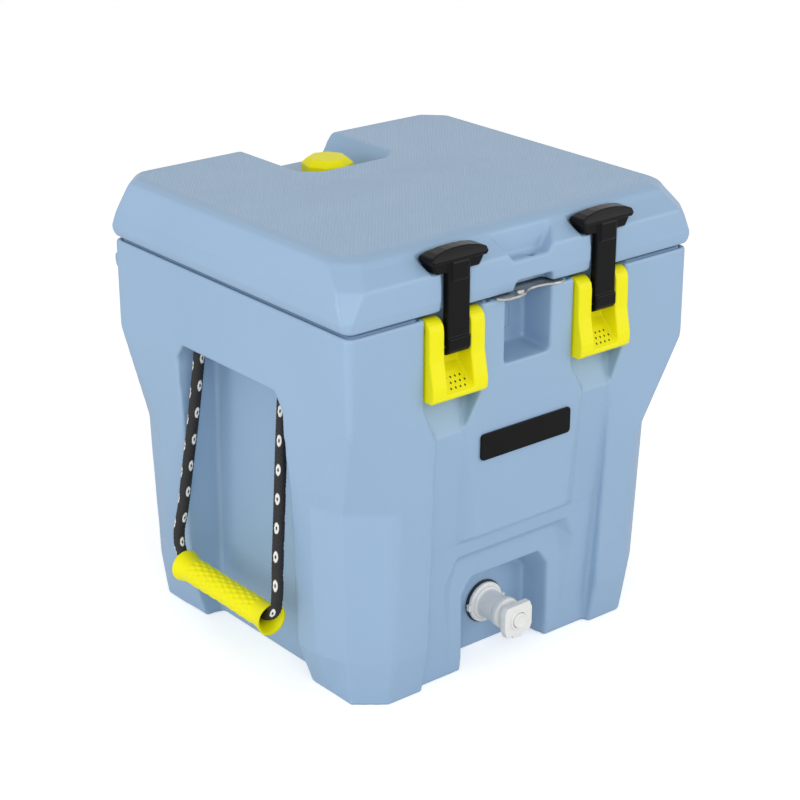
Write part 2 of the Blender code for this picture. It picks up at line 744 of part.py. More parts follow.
def make_lid_shell():
    """Make the blue lid shell with its hinge knuckles."""
    shell = combine(lid_block(0.0, LID_BASE, LID_TOP), lid_recesses(0.0))
    space = combine(lid_block(WALL, LID_BASE - FAR, LID_TOP - WALL), lid_recesses(WALL))
    combine(shell, [space])
    combine(shell, [rod("bore", NECK_RADIUS + GAP, POCKET_FLOOR - 9, POCKET_FLOOR + 9, (0, FILL_Y, 0), "z", 32)])
    for side in (-1, 1):
        points = []
        for x in (side * HINGE_X - LID_KNUCKLE_HALF, side * HINGE_X + LID_KNUCKLE_HALF):
            points += [(x, HINGE_Y + a, HINGE_Z + b) for a, b in arc((0, 0), KNUCKLE, 0, 337.5, 15)]
            points += [(x, y, z) for y in (HALF_Y - 1.5, HALF_Y + 1) for z in (LID_BASE + 8, LID_BASE + 22)]
        join(shell, hull("knuckle", points))
        middle = side * HINGE_X
        bore = HINGE_PIN_RADIUS + GAP
        combine(shell, [rod("bore", bore, middle - FAR, middle + FAR, (0, HINGE_Y, HINGE_Z), "x", 16)])
    return finished(shell, "lid_shell", BLUE, (0, HINGE_Y, HINGE_Z), 25)


def make_lid_foam():
    """Make the foam between the lid shell and the lid liner."""
    inset = WALL + GAP
    foam = combine(lid_block(inset, LID_BASE + PLATE + GAP, LID_TOP - inset), lid_recesses(inset))
    combine(foam, [rod("bore", NECK_RADIUS + GAP, LID_BASE - 9, LID_TOP, (0, FILL_Y, 0), "z", 32)])
    return finished(foam, "lid_foam", FOAM, (0, HINGE_Y, HINGE_Z))


def make_lid_liner():
    """Make the white plate under the lid with the rim that drops into the tank's mouth."""
    plate = combine(lid_block(WALL + GAP, LID_BASE, LID_BASE + PLATE), lid_recesses(WALL + GAP))
    half_x, half_y = TANK_TOP_X - PLUG_CLEAR, TANK_TOP_Y - PLUG_CLEAR
    low = LID_BASE - PLUG_DROP
    outer = loft("plug", [rounded_ring(half_x - 1, half_y - 1, TANK_CORNER - 3, low),
                          rounded_ring(half_x, half_y, TANK_CORNER - 3, LID_BASE + 2)])
    join(plate, outer)
    room = loft("room", [rounded_ring(half_x - 5, half_y - 5, TANK_CORNER - 8, low - 5),
                         rounded_ring(half_x - 5, half_y - 5, TANK_CORNER - 8, LID_BASE)])
    combine(plate, [room])
    combine(plate, [rod("bore", NECK_RADIUS + GAP, LID_BASE - 9, LID_TOP, (0, FILL_Y, 0), "z", 32)])
    return finished(plate, "lid_liner", WHITE, (0, HINGE_Y, HINGE_Z))


def make_lid_gasket():
    """Make the rubber seal that lies on the tank's flange."""
    low, high = RIM + GAP, LID_BASE - GAP
    rings = [(TANK_TOP_X + 1.5 + add, TANK_TOP_Y + 1.5 + add, TANK_CORNER + add) for add in (4.5, 0.0)]
    (out_x, out_y, out_r), (in_x, in_y, in_r) = rings
    gasket = loft("gasket", [rounded_ring(out_x, out_y, out_r, z) for z in (low, high)])
    combine(gasket, [loft("room", [rounded_ring(in_x, in_y, in_r, z) for z in (low - 5, high + 5)])])
    return finished(gasket, "lid_gasket", RUBBER, (0, HINGE_Y, HINGE_Z))


def thread_rows(radius, low, high, side):
    """Give the rows of a threaded wall, six to a pitch, that runs out at both ends.

    On a plug (side -1) the thread sinks into the plain wall there, and in a bore (side 1) the
    bore widens, so that a plug clears its bore in every position along the thread.
    """
    steps = round((high - low) / (THREAD_PITCH / 6))
    rows = []
    for step in range(steps + 1):
        fade = min(1.0, step / 3, (steps - step) / 3)
        plain = radius + side * THREAD_DEPTH * (1 - fade)
        rows.append((plain, low + (high - low) * step / steps, THREAD_DEPTH * fade))
    return rows


def filler_heights():
    """Give the top of the neck's flange and the underside of the cap's knob."""
    neck_top = POCKET_FLOOR + GAP + NECK_FLANGE_THICK
    return neck_top, neck_top + GASKET_THICK + 2 * GAP


def make_fill_neck():
    """Make the threaded neck that water is poured through."""
    neck_top, _ = filler_heights()
    low = LID_BASE - 2.0
    profile = [(NECK_RADIUS, low), (NECK_RADIUS, POCKET_FLOOR + GAP), (NECK_FLANGE, POCKET_FLOOR + GAP)]
    profile += [(NECK_FLANGE, neck_top)]
    profile += thread_rows(NECK_BORE, neck_top - CAP_PLUG_DEPTH + 4, neck_top, 1)[::-1]
    profile += [(NECK_BORE + THREAD_DEPTH, low)]
    return finished(turned("neck", profile, (0, FILL_Y, 0)), "fill_neck", WHITE, (0, FILL_Y, neck_top), 40)


def make_fill_cap():
    """Make the yellow cap with its threaded plug, and the gasket under its knob."""
    neck_top, under = filler_heights()
    gasket = [(NECK_BORE + 1.5, neck_top + GAP), (CAP_RADIUS - 2, neck_top + GAP)]
    gasket += [(CAP_RADIUS - 2, under - GAP), (NECK_BORE + 1.5, under - GAP)]
    finished(turned("seal", gasket, (0, FILL_Y, 0)), "fill_cap_gasket", RUBBER, (0, FILL_Y, neck_top), 40)
    low = under - CAP_PLUG_DEPTH
    radius = NECK_BORE - THREAD_CLEAR
    profile = thread_rows(radius, low, neck_top - 1, -1)
    root, hollow = radius - THREAD_DEPTH, radius - 4
    profile += [(root, under + 3), (0, under + 3), (0, under - 2), (hollow, under - 2), (hollow, low)]
    plug = turned("plug", profile, (0, FILL_Y, 0))
    corner = CAP_RADIUS / math.cos(math.pi / CAP_SIDES)
    knob = [(0, under), (corner - 1.5, under), (corner, under + 1.5), (corner, CAP_TOP - 6)]
    knob += [(corner - 5, CAP_TOP - 1.5), (corner - 7, CAP_TOP), (0, CAP_TOP)]
    join(plug, turned("knob", knob, (0, FILL_Y, 0), "z", CAP_SIDES, math.radians(CAP_TURN)))
    return finished(plug, "fill_cap", YELLOW, (0, FILL_Y, under), 30)


# Hinge pins and latches


def make_hinge_pins():
    """Make the two steel rods of the lid's hinge, each with a head at both ends."""
    for side, name in ((-1, "left"), (1, "right")):
        near, far = HINGE_HALF + GAP, HINGE_HALF + GAP + 1.5
        profile = [(0, -far), (4, -far), (4, -near), (HINGE_PIN_RADIUS, -near)]
        profile += [(HINGE_PIN_RADIUS, near), (4, near), (4, far), (0, far)]
        place = (side * HINGE_X, HINGE_Y, HINGE_Z)
        finished(turned("pin", profile, place, "x", 16), f"hinge_pin_{name}", STEEL, smooth=40)


def make_lever(side, name):
    """Make one yellow latch lever: two rails round an open channel, over a sloped grip."""
    middle = side * LATCH_X
    pin_y, reach = LEVER_PIN_Y, LEVER_REACH
    top = [(-(pin_y + a), LEVER_PIN_Z + b) for a, b in arc((0, 0), LEVER_ROUND, 0, 180, 10)]
    outline = top + [(-(pin_y - LEVER_ROUND + 1), LEVER_LOW + 22), (-(pin_y - LEVER_ROUND + 3), LEVER_LOW + 8)]
    outline += [(-(pin_y - LEVER_ROUND + 8), LEVER_LOW), (-(reach - 4), LEVER_LOW)]
    outline += [(-(reach - 1), LEVER_LOW + 2.5), (-reach, LEVER_LOW + 7), (-reach, LEVER_LOW + 15)]
    outline += [(-(reach - 5), LEVER_LOW + 40)]
    lever = prism("lever", outline, "x", middle - LEVER_HALF, middle + LEVER_HALF)
    floor = LEVER_LOW + 23
    web = -(pin_y - LEVER_ROUND + 4)
    slot = [(-(HALF_Y - 6), floor), (web, floor + 6), (web, LEVER_LOW + 55), (web + FAR, LEVER_LOW + 55)]
    slot += [(web + FAR, RIM + FAR), (-(reach + 11), RIM + FAR), (-(reach + 11), floor - 28)]
    combine(lever, [prism("slot", slot, "x", middle - CHANNEL_HALF, middle + CHANNEL_HALF)])
    for y, z, radius in (
        (-LEVER_PIN_Y, LEVER_PIN_Z, LEVER_PIN_RADIUS + GAP),
        (-STRAP_PIN_Y, STRAP_PIN_Z, STRAP_PIN_RADIUS + GAP),
    ):
        half = FAR if y == -LEVER_PIN_Y else CHANNEL_HALF + 8
        combine(lever, [rod("bore", radius, middle - half, middle + half, (0, y, z), "x", 16)])
    finished(lever, f"latch_lever_{name}", YELLOW, (middle, -LEVER_PIN_Y, LEVER_PIN_Z), 30)


def make_latch_pins(side, name):
    """Make the rod that a lever turns on and the rod that carries the strap's foot."""
    middle = side * LATCH_X
    half = LEVER_PIN_HALF
    pin = rod("pin", LEVER_PIN_RADIUS, middle - half, middle + half, (0, -LEVER_PIN_Y, LEVER_PIN_Z), "x", 16)
    finished(pin, f"lever_pin_{name}", STEEL, smooth=40)
    half = CHANNEL_HALF + 8 - GAP
    place = (0, -STRAP_PIN_Y, STRAP_PIN_Z)
    pin = rod("pin", STRAP_PIN_RADIUS, middle - half, middle + half, place, "x", 16)
    finished(pin, f"strap_pin_{name}", STEEL, (middle, -STRAP_PIN_Y, STRAP_PIN_Z), 40)


def make_strap(side, name):
    """Make one black T strap: a foot round its pin, a flat stem and an arched bar."""
    middle = side * LATCH_X
    front, back = -(STRAP_PIN_Y + 6), -(STRAP_PIN_Y + 6 - STRAP_THICK)
    foot = [(-STRAP_PIN_Y + a, STRAP_PIN_Z + b) for a, b in arc((0, 0), FOOT_RADIUS, 180, 360, 8)]
    outline = foot + [(back, STRAP_PIN_Z + 12), (back, BAR_LOW + 8), (front, BAR_LOW + 8), (front, STRAP_PIN_Z + 12)]
    strap = prism("strap", outline, "x", middle - STRAP_HALF, middle + STRAP_HALF)
    near, far = HALF_Y + 9, BAR_BACK
    points = [(BAR_FOOT_HALF, y, BAR_LOW) for y in (-(near - 1), -far - 1)]
    points += [(BAR_HALF, y, BAR_LOW + 12) for y in (-near, -far)]
    points += [(BAR_HALF - 1.5, y, BAR_LOW + 17) for y in (-(near - 3), -far - 3)]
    points += [(20, y, BAR_LOW + 21) for y in (-(near - 5), -far - 4)]
    points += [(9, y, BAR_LOW + 22.5) for y in (-(near - 6), -far - 5)]
    bar = hull("bar", [(middle + x, y, z) for x, y, z in mirrored(points)])
    join(strap, bar)
    bore = STRAP_PIN_RADIUS + GAP
    place = (0, -STRAP_PIN_Y, STRAP_PIN_Z)
    combine(strap, [rod("bore", bore, middle - FAR, middle + FAR, place, "x", 16)])
    finished(strap, f"latch_strap_{name}", BLACK, (middle, -STRAP_PIN_Y, STRAP_PIN_Z), 30)


# Spigot


def make_spigot():
    """Make the valve: body with its tail, bonnet with finger wings, button, seals and nut."""
    centre = (0, 0, SPIGOT_Z)
    face = -CAVITY_BACK
    start, end = tank_pad_faces()
    seal = [(TAIL_RADIUS + GAP, face - GAP), (OUTER_SEAL, face - GAP)]
    seal += [(OUTER_SEAL, face - GAP - SEAL_THICK), (TAIL_RADIUS + GAP, face - GAP - SEAL_THICK)]
    finished(turned("seal", seal, centre, "y"), "spigot_gasket_outer", RUBBER, smooth=40)
    inner = [(TAIL_RADIUS + GAP, end + GAP), (NUT_RADIUS, end + GAP)]
    inner += [(NUT_RADIUS, end + GAP + SEAL_THICK), (TAIL_RADIUS + GAP, end + GAP + SEAL_THICK)]
    finished(turned("seal", inner, centre, "y"), "spigot_gasket_inner", RUBBER, smooth=40)
    nut_low = end + 2 * GAP + SEAL_THICK
    nut = rod("nut", NUT_RADIUS, nut_low, nut_low + NUT_THICK, centre, "y", 6)
    combine(nut, [rod("bore", TAIL_RADIUS + GAP, nut_low - 5, nut_low + NUT_THICK + 5, centre, "y", 32)])
    finished(nut, "spigot_nut", WHITE)

    back = face - 2 * GAP - SEAL_THICK
    front = back - SPIGOT_FLANGE_THICK
    mouth = front - BARREL_LENGTH
    tip = nut_low + NUT_THICK + 4
    seat = start - 2
    body = [(TAIL_BORE, tip), (TAIL_RADIUS, tip), (TAIL_RADIUS, back), (SPIGOT_FLANGE, back)]
    body += [(SPIGOT_FLANGE, front + 1), (SPIGOT_FLANGE - 1.5, front), (BARREL + 1.5, front)]
    body += [(BARREL, front - 1.5), (BARREL, mouth), (BARREL - 3, mouth)]
    body += [(BARREL - 3, front - 3), (4.2, front - 3), (4.2, seat), (TAIL_BORE, seat)]
    valve = turned("valve", body, centre, "y")
    for side in (-1, 1):
        tab = prism("tab", [(side * (SPIGOT_FLANGE - 3), SPIGOT_Z - 3.5), (side * (SPIGOT_FLANGE + 3), SPIGOT_Z - 3.5),
                            (side * (SPIGOT_FLANGE + 3), SPIGOT_Z + 3.5), (side * (SPIGOT_FLANGE - 3), SPIGOT_Z + 3.5)],
                    "y", back - 0.5, front + 1.2)
        join(valve, tab)
    outlet = (0, (front + mouth) / 2, 0)
    combine(valve, [rod("outlet", 5.0, SPIGOT_Z - BARREL - 5, SPIGOT_Z - 4, outlet, "z", 20)])
    finished(valve, "spigot_body", WHITE, smooth=35)

    collar = mouth - GAP - COLLAR_LENGTH
    wing_front = -WING_FRONT
    wing_back = wing_front + WING_THICK
    room = wing_front + BUTTON_LENGTH - BUTTON_PROUD + SPRING_ROOM + GAP
    bonnet = [(BARREL - 3 - GAP, mouth + 6), (BARREL - 3 - GAP, mouth - GAP), (COLLAR - 2, mouth - GAP)]
    bonnet += [(COLLAR, mouth - GAP - 2), (COLLAR, collar + 4), (COLLAR - 1.5, collar + 1.5), (COLLAR - 4, collar)]
    bonnet += [(NECK, collar - 1), (NECK, wing_front + 2), (BUTTON_BORE, wing_front + 2), (BUTTON_BORE, room)]
    bonnet += [(STEM_BORE, room), (STEM_BORE, mouth + 6)]
    cover = turned("bonnet", bonnet, centre, "y")
    x, z = WING_HALF_X, WING_HALF_Z
    outline = [(-x + 3, z), (x - 3, z), (x, z - 7), (x, 7 - z), (x - 3, -z), (6, -z), (6, -z - 3.5)]
    outline += [(-6, -z - 3.5), (-6, -z), (-x + 3, -z), (-x, 7 - z), (-x, z - 7)]
    wing = prism("wing", [(a, b + SPIGOT_Z) for a, b in outline], "y", wing_back, wing_front)
    combine(wing, [rod("bore", (BUTTON_BORE + NECK) / 2, wing_front - 9, wing_back + 9, centre, "y", 32)])
    join(cover, wing)
    finished(cover, "spigot_bonnet", WHITE, smooth=35)

    button_front = wing_front - BUTTON_PROUD
    head = button_front + BUTTON_LENGTH
    stem_end = seat + 9
    disc = seat + GAP
    button = [(0, button_front), (BUTTON_RADIUS - 1, button_front), (BUTTON_RADIUS, button_front + 1)]
    button += [(BUTTON_RADIUS, head), (STEM, head), (STEM, disc), (STEM, stem_end), (4.5, stem_end)]
    button += [(4.5, stem_end + 1.5), (0, stem_end + 1.5)]
    finished(turned("button", button, centre, "y", 24), "spigot_button", WHITE, (0, head, SPIGOT_Z), 35)
    washer = [(STEM + GAP, disc), (TAIL_BORE - 0.7, disc)]
    washer += [(TAIL_BORE - 0.7, stem_end - GAP), (STEM + GAP, stem_end - GAP)]
    finished(turned("washer", washer, centre, "y", 24), "spigot_seal", RUBBER, (0, head, SPIGOT_Z), 35)


# Rope handles


def rope_route():
    """Give one handle's rope route for the right side, from its front top to its back top.

    The rope leaves the recess's ceiling leaning outwards, turns through a bend, and runs
    straight through the grip.
    """
    bend, low_y = ROPE_BEND, GRIP_STRAIGHT
    drop = [(ROPE_X, ROPE_Y, PIVOT_Z), (ROPE_X + 2.6, ROPE_Y + 1, PIVOT_Z - 24)]
    drop += [(ROPE_X + 8, ROPE_Y + 4, PIVOT_Z - 72), (ROPE_X + 14, ROPE_Y + 8, PIVOT_Z - 122)]
    drop += [(ROPE_X + 19.5, ROPE_Y + 11.5, PIVOT_Z - 168), (GRIP_X - 1, low_y + bend, ROPE_LOW + bend + 14)]
    turn = [(GRIP_X, y, z) for y, z in arc((low_y, ROPE_LOW + bend), bend, 0, -90, 5)]
    half = drop + turn + [(GRIP_X, low_y / 2, ROPE_LOW)]
    return [(x, -y, z) for x, y, z in half] + [(GRIP_X, 0, ROPE_LOW)] + half[::-1]


def smooth_points(points):
    """Read points from a smooth curve through the given points, closer together in its bends."""
    before = [2 * Vector(points[0]) - Vector(points[1])]
    after = [2 * Vector(points[-1]) - Vector(points[-2])]
    line = before + [Vector(point) for point in points] + after
    dense = []
    for a, b, c, d in zip(line, line[1:], line[2:], line[3:]):
        for step in range(12):
            t = step / 12
            bent = (2 * a - 5 * b + 4 * c - d) * t**2 + (3 * b - a - 3 * c + d) * t**3
            dense.append(0.5 * (2 * b + (c - a) * t + bent))
    dense.append(line[-2])
    chosen, start = [dense[0]], dense[1] - dense[0]
    for point, after in zip(dense[1:-1], dense[2:]):
        way = after - point
        if way.angle(start) > ROPE_TURN or (point - chosen[-1]).length > ROPE_STEP:
            chosen.append(point)
            start = way
    return [*chosen, dense[-1]]


def make_rope(side, name):
    """Make one rope as a tube whose round ends are centred on the handle's swing axis."""
    points = [Vector((side * x, y, z)) for x, y, z in rope_route()]
    points = smooth_points(points)
    radii = [1.0] * len(points)
    for end in (0, -1):
        near = points[1] if end == 0 else points[-2]
        out = (points[end] - near).normalized()
        base = points[end].copy()
        for angle in (30, 60, 84):
            tip = base + out * ROPE_RADIUS * math.sin(math.radians(angle))
            place = 0 if end == 0 else len(points)
            points.insert(place, tip)
            radii.insert(place, math.cos(math.radians(angle)))
    curve = bpy.data.curves.new("rope", "CURVE")
    curve.dimensions = "3D"
    curve.bevel_depth = ROPE_RADIUS * MM
    curve.bevel_resolution = 2
    curve.use_fill_caps = True
    curve.render_resolution_u = 0
    spline = curve.splines.new("POLY")
    spline.points.add(len(points) - 1)
    origin = Vector((side * ROPE_X, 0, PIVOT_Z)) * MM
    for index, point in enumerate(points):
        spline.points[index].co = (*(point * MM - origin), 1.0)
        spline.points[index].radius = radii[index]
    rope = bpy.data.objects.new("rope", curve)
    bpy.context.scene.collection.objects.link(rope)
    rope.location = origin
    finished(rope, f"rope_{name}", BLACK)
    rope.location = origin


def make_knots(side, name):
    """Make the rope's stub and stopper knot over each hole in the recess's ceiling."""
    low = PIVOT_Z + ROPE_RADIUS + GAP
    seat = RECESS_TOP + WALL + GAP
    high = seat + KNOT_HEIGHT
    profile = [(0, low), (ROPE_RADIUS, low), (ROPE_RADIUS, seat), (KNOT_RADIUS - 2, seat)]
    profile += [(KNOT_RADIUS, seat + 3), (KNOT_RADIUS, high - 6), (KNOT_RADIUS - 3, high - 1.5), (0, high)]
    for end, place in ((-1, "front"), (1, "back")):
        knot = turned("knot", profile, (side * ROPE_X, end * ROPE_Y, 0), "z", 16)
        finished(knot, f"rope_knot_{name}_{place}", BLACK, smooth=40)


def make_grip(side, name):
    """Make one hand grip: a tube whose ends flare round the rope's bends."""
    inner = ROPE_BEND - ROPE_RADIUS
    bore = [(GRIP_BORE, 0), (GRIP_BORE, GRIP_STRAIGHT - 2)]
    for past in range(4, 15, 2):
        rise = inner - math.sqrt(inner**2 - past**2)
        bore.append((GRIP_BORE + rise + 2 * GAP, GRIP_STRAIGHT + past))
    end, bore = GRIP_STRAIGHT + 14, bore[::-1]
    mouth = bore[0][0] + GRIP_LIP
    outer = [(GRIP_RADIUS, 0), (GRIP_RADIUS + 0.6, end - 16), (mouth - 2.4, end - 7), (mouth - 0.6, end - 2.5)]
    outer.append((mouth, end))
    profile = [(r, -a) for r, a in outer[:0:-1]] + outer + bore + [(r, -a) for r, a in bore[-2::-1]]
    place = (side * GRIP_X, 0, GRIP_Z)
    finished(turned("grip", profile, place, "y", 20), f"grip_{name}", YELLOW, place, 40)


def main():
    """Build every piece."""
    for old in list(bpy.data.objects):
        bpy.data.objects.remove(old)
    make_outer_shell()
    make_tank()
    make_body_foam()
    make_badge()
    make_opener()
    make_opener_screws()
    make_lid_shell()
    make_lid_foam()
    make_lid_liner()
    make_lid_gasket()
    make_fill_neck()
    make_fill_cap()
    make_hinge_pins()
    make_spigot()
    for side, name in ((-1, "left"), (1, "right")):
        make_lever(side, name)
        make_latch_pins(side, name)
        make_strap(side, name)
        make_rope(side, name)
        make_knots(side, name)
        make_grip(side, name)


main()
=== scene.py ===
"""Looks of the insulated beverage dispenser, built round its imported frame.

Lengths are in metres. X is to the right seen from the front, the front faces -Y and Z is up.
Rounded mouldings are made by welding a solid, skinning it with small cells, relaxing the skin
and laying its flat parts back on the solid. Turned and braided pieces are grids of points
worked out as whole arrays.
"""

from __future__ import annotations

import json
import logging
import math
from dataclasses import dataclass, field
from enum import Enum
from typing import Any, Sequence, Union

import bmesh
import bpy
import numpy as np
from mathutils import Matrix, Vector

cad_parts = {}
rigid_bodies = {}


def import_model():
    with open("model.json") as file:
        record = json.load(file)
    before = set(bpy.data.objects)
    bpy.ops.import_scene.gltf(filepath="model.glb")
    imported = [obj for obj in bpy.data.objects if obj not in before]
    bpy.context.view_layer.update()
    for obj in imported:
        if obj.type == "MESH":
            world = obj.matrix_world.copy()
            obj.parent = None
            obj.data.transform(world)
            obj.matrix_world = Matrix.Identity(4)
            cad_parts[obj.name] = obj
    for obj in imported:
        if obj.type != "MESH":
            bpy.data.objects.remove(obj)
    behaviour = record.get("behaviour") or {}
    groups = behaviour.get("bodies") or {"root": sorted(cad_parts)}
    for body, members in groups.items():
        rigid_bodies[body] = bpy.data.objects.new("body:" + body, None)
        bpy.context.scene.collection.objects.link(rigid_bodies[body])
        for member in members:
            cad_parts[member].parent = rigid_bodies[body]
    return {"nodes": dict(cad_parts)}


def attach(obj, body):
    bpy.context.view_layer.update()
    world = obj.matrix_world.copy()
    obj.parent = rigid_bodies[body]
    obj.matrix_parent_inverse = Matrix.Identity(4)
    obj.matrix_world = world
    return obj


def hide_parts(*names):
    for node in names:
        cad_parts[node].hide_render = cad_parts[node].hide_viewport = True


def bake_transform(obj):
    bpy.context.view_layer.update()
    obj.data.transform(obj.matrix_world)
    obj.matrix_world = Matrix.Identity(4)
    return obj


for old in list(bpy.data.objects):
    bpy.data.objects.remove(old)
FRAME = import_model()

LOG = logging.getLogger("dispenser")
MM = 0.001
CRISP = 5  # points to an eased corner
Colour = tuple[float, float, float]
Flat = tuple[float, float]
Point = tuple[float, float, float]


# Shader graphs


class Socket:
    """A shader value on which Python operators add Math nodes."""

    def __init__(self, graph: "Graph", output: bpy.types.NodeSocket) -> None:
        """Hold an output socket and the graph it belongs to."""
        self.graph = graph
        self.output = output

    def math(self, operation: str, *others: "Number") -> "Socket":
        """Add a Math node.

        Args:
            operation: The Math node's operation.
            others: The other operands, sockets or numbers.

        Returns:
            The node's result.
        """
        return self.graph.node("ShaderNodeMath", {"operation": operation}, dict(enumerate((self, *others))))

    def reverse(self, operation: str, other: "Number") -> "Socket":
        """Add a Math node with the other operand first."""
        return self.graph.node("ShaderNodeMath", {"operation": operation}, {0: other, 1: self})

    def __add__(self, other: "Number") -> "Socket":
        """Add."""
        return self.math("ADD", other)

    __radd__ = __add__

    def __sub__(self, other: "Number") -> "Socket":
        """Subtract."""
        return self.math("SUBTRACT", other)

    def __rsub__(self, other: "Number") -> "Socket":
        """Subtract from a number."""
        return self.reverse("SUBTRACT", other)

    def __mul__(self, other: "Number") -> "Socket":
        """Multiply."""
        return self.math("MULTIPLY", other)

    __rmul__ = __mul__

    def __truediv__(self, other: "Number") -> "Socket":
        """Divide."""
        return self.math("DIVIDE", other)

    def __gt__(self, other: "Number") -> "Socket":
        """Give 1 where this is greater."""
        return self.math("GREATER_THAN", other)

    def __lt__(self, other: "Number") -> "Socket":
        """Give 1 where this is less."""
        return self.math("LESS_THAN", other)

    def __pow__(self, other: "Number") -> "Socket":
        """Raise to a power."""
        return self.math("POWER", other)

    def __abs__(self) -> "Socket":
        """Give the absolute value."""
        return self.math("ABSOLUTE")


Number = Union[Socket, float, int]


class Graph:
    """One material's node tree, written as expressions."""

    def __init__(self, name: str) -> None:
        """Start an empty material of that name."""
        self.material = bpy.data.materials.new(name)
        self.material.use_nodes = True
        self.tree = self.material.node_tree
        self.tree.nodes.clear()

    def add(self, kind: str, settings: dict[str, Any], inputs: dict[Any, Any]) -> bpy.types.Node:
        """Add a node.

        Args:
            kind: The node's type.
            settings: Its properties, set first; "stops" are a colour ramp's places and colours.
            inputs: Values or sockets for its inputs, by name or number.

        Returns:
            The node.
        """
        made = self.tree.nodes.new(kind)
        for key, value in settings.items():
            if key == "stops":
                ramp = made.color_ramp
                for stop, (place, colour) in zip((ramp.elements[0], ramp.elements[-1]), value):
                    stop.position, stop.color = place, (*colour, 1.0)
            else:
                setattr(made, key, value)
        for key, value in inputs.items():
            if isinstance(value, Socket):
                self.tree.links.new(value.output, made.inputs[key])
            else:
                made.inputs[key].default_value = value
        return made

    def node(self, kind: str, settings: dict[str, Any], inputs: dict[Any, Any], output: Any = 0) -> Socket:
        """Add a node and give one of its outputs."""
        return Socket(self, self.add(kind, settings, inputs).outputs[output])

    def place(self, output: str = "Object") -> Socket:
        """Give the texture coordinate of that name."""
        return self.node("ShaderNodeTexCoord", {}, {}, output)

    def parts(self, vector: Socket) -> tuple[Socket, Socket, Socket]:
        """Split a vector into its three parts."""
        made = self.add("ShaderNodeSeparateXYZ", {}, {0: vector})
        return tuple(Socket(self, made.outputs[index]) for index in range(3))

    def noise(
        self, scale: float, detail: float = 2.0, roughness: float = 0.5, where: Socket | None = None
    ) -> Socket:
        """Give a noise from 0 to 1 with so many cells to a metre."""
        inputs = {"Vector": where or self.place(), "Scale": scale, "Detail": detail, "Roughness": roughness}
        return self.node("ShaderNodeTexNoise", {}, inputs)

    def stretch(self, where: Socket, scale: Sequence[float]) -> Socket:
        """Scale a vector along its three axes."""
        return self.node("ShaderNodeVectorMath", {"operation": "MULTIPLY"}, {0: where, 1: tuple(scale)})

    def mix(self, share: Socket, first: Any, second: Any) -> Socket:
        """Mix two colours, given as sockets or as three numbers."""
        ends = [value if isinstance(value, Socket) else (*value, 1.0) for value in (first, second)]
        return self.node("ShaderNodeMix", {"data_type": "RGBA"}, {0: share, 6: ends[0], 7: ends[1]}, 2)

    def step(self, value: Socket, low: float, high: float) -> Socket:
        """Rise smoothly from 0 at low to 1 at high."""
        inputs = {"Value": value, "From Min": low, "From Max": high}
        return self.node("ShaderNodeMapRange", {"interpolation_type": "SMOOTHSTEP"}, inputs)

    def bump(self, height: Socket, distance: float, normal: Socket | None = None) -> Socket:
        """Raise the surface by height times a distance in metres."""
        inputs: dict[str, Any] = {"Height": height, "Distance": distance, "Strength": 1.0}
        if normal is not None:
            inputs["Normal"] = normal
        return self.node("ShaderNodeBump", {}, inputs)

    def finish(self, inputs: dict[str, Any]) -> bpy.types.Material:
        """Close the graph with a Principled BSDF and give the material."""
        shader = self.node("ShaderNodeBsdfPrincipled", {}, inputs)
        self.add("ShaderNodeOutputMaterial", {}, {"Surface": shader})
        return self.material


# Finishes


@dataclass(frozen=True)
class Finish:
    """A surface: its colour, its gloss and the grain that its mould or tool leaves."""

    name: str
    slot: str
    colour: Colour
    roughness: float
    grain: float = 900.0
    grain_height: float = 0.00002
    shade: float = 0.04
    metallic: float = 0.0
    shine: float = 0.5

    def tones(self, graph: Graph) -> Socket:
        """Give the colour with its slow, slight change from place to place."""
        dark = tuple(part * (1 - self.shade) for part in self.colour)
        light = tuple(min(1.0, part * (1 + self.shade)) for part in self.colour)
        return graph.mix(graph.noise(9.0, 3.0), dark, light)

    def relief(self, graph: Graph) -> Socket:
        """Give the normal of the fine grain over a slight unevenness."""
        slow = graph.bump(graph.noise(14.0, 1.0), 0.0006)
        return graph.bump(graph.noise(self.grain, 3.0, 0.6), self.grain_height, slow)

    def gloss(self, graph: Graph) -> Socket:
        """Give the roughness, which scuffs and handling change a little."""
        return graph.noise(32.0, 4.0) * 0.12 + (self.roughness - 0.06)

    def extras(self) -> dict[str, Any]:
        """Give the shader's other sockets, all plain numbers."""
        return {"Metallic": self.metallic, "Specular IOR Level": self.shine}

    def material(self) -> bpy.types.Material:
        """Give the material, made once."""
        known = bpy.data.materials.get(self.name)
        if known:
            return known
        graph = Graph(self.name)
        varied = {"Base Color": self.tones(graph), "Roughness": self.gloss(graph)}
        return graph.finish({**varied, "Normal": self.relief(graph), **self.extras()})


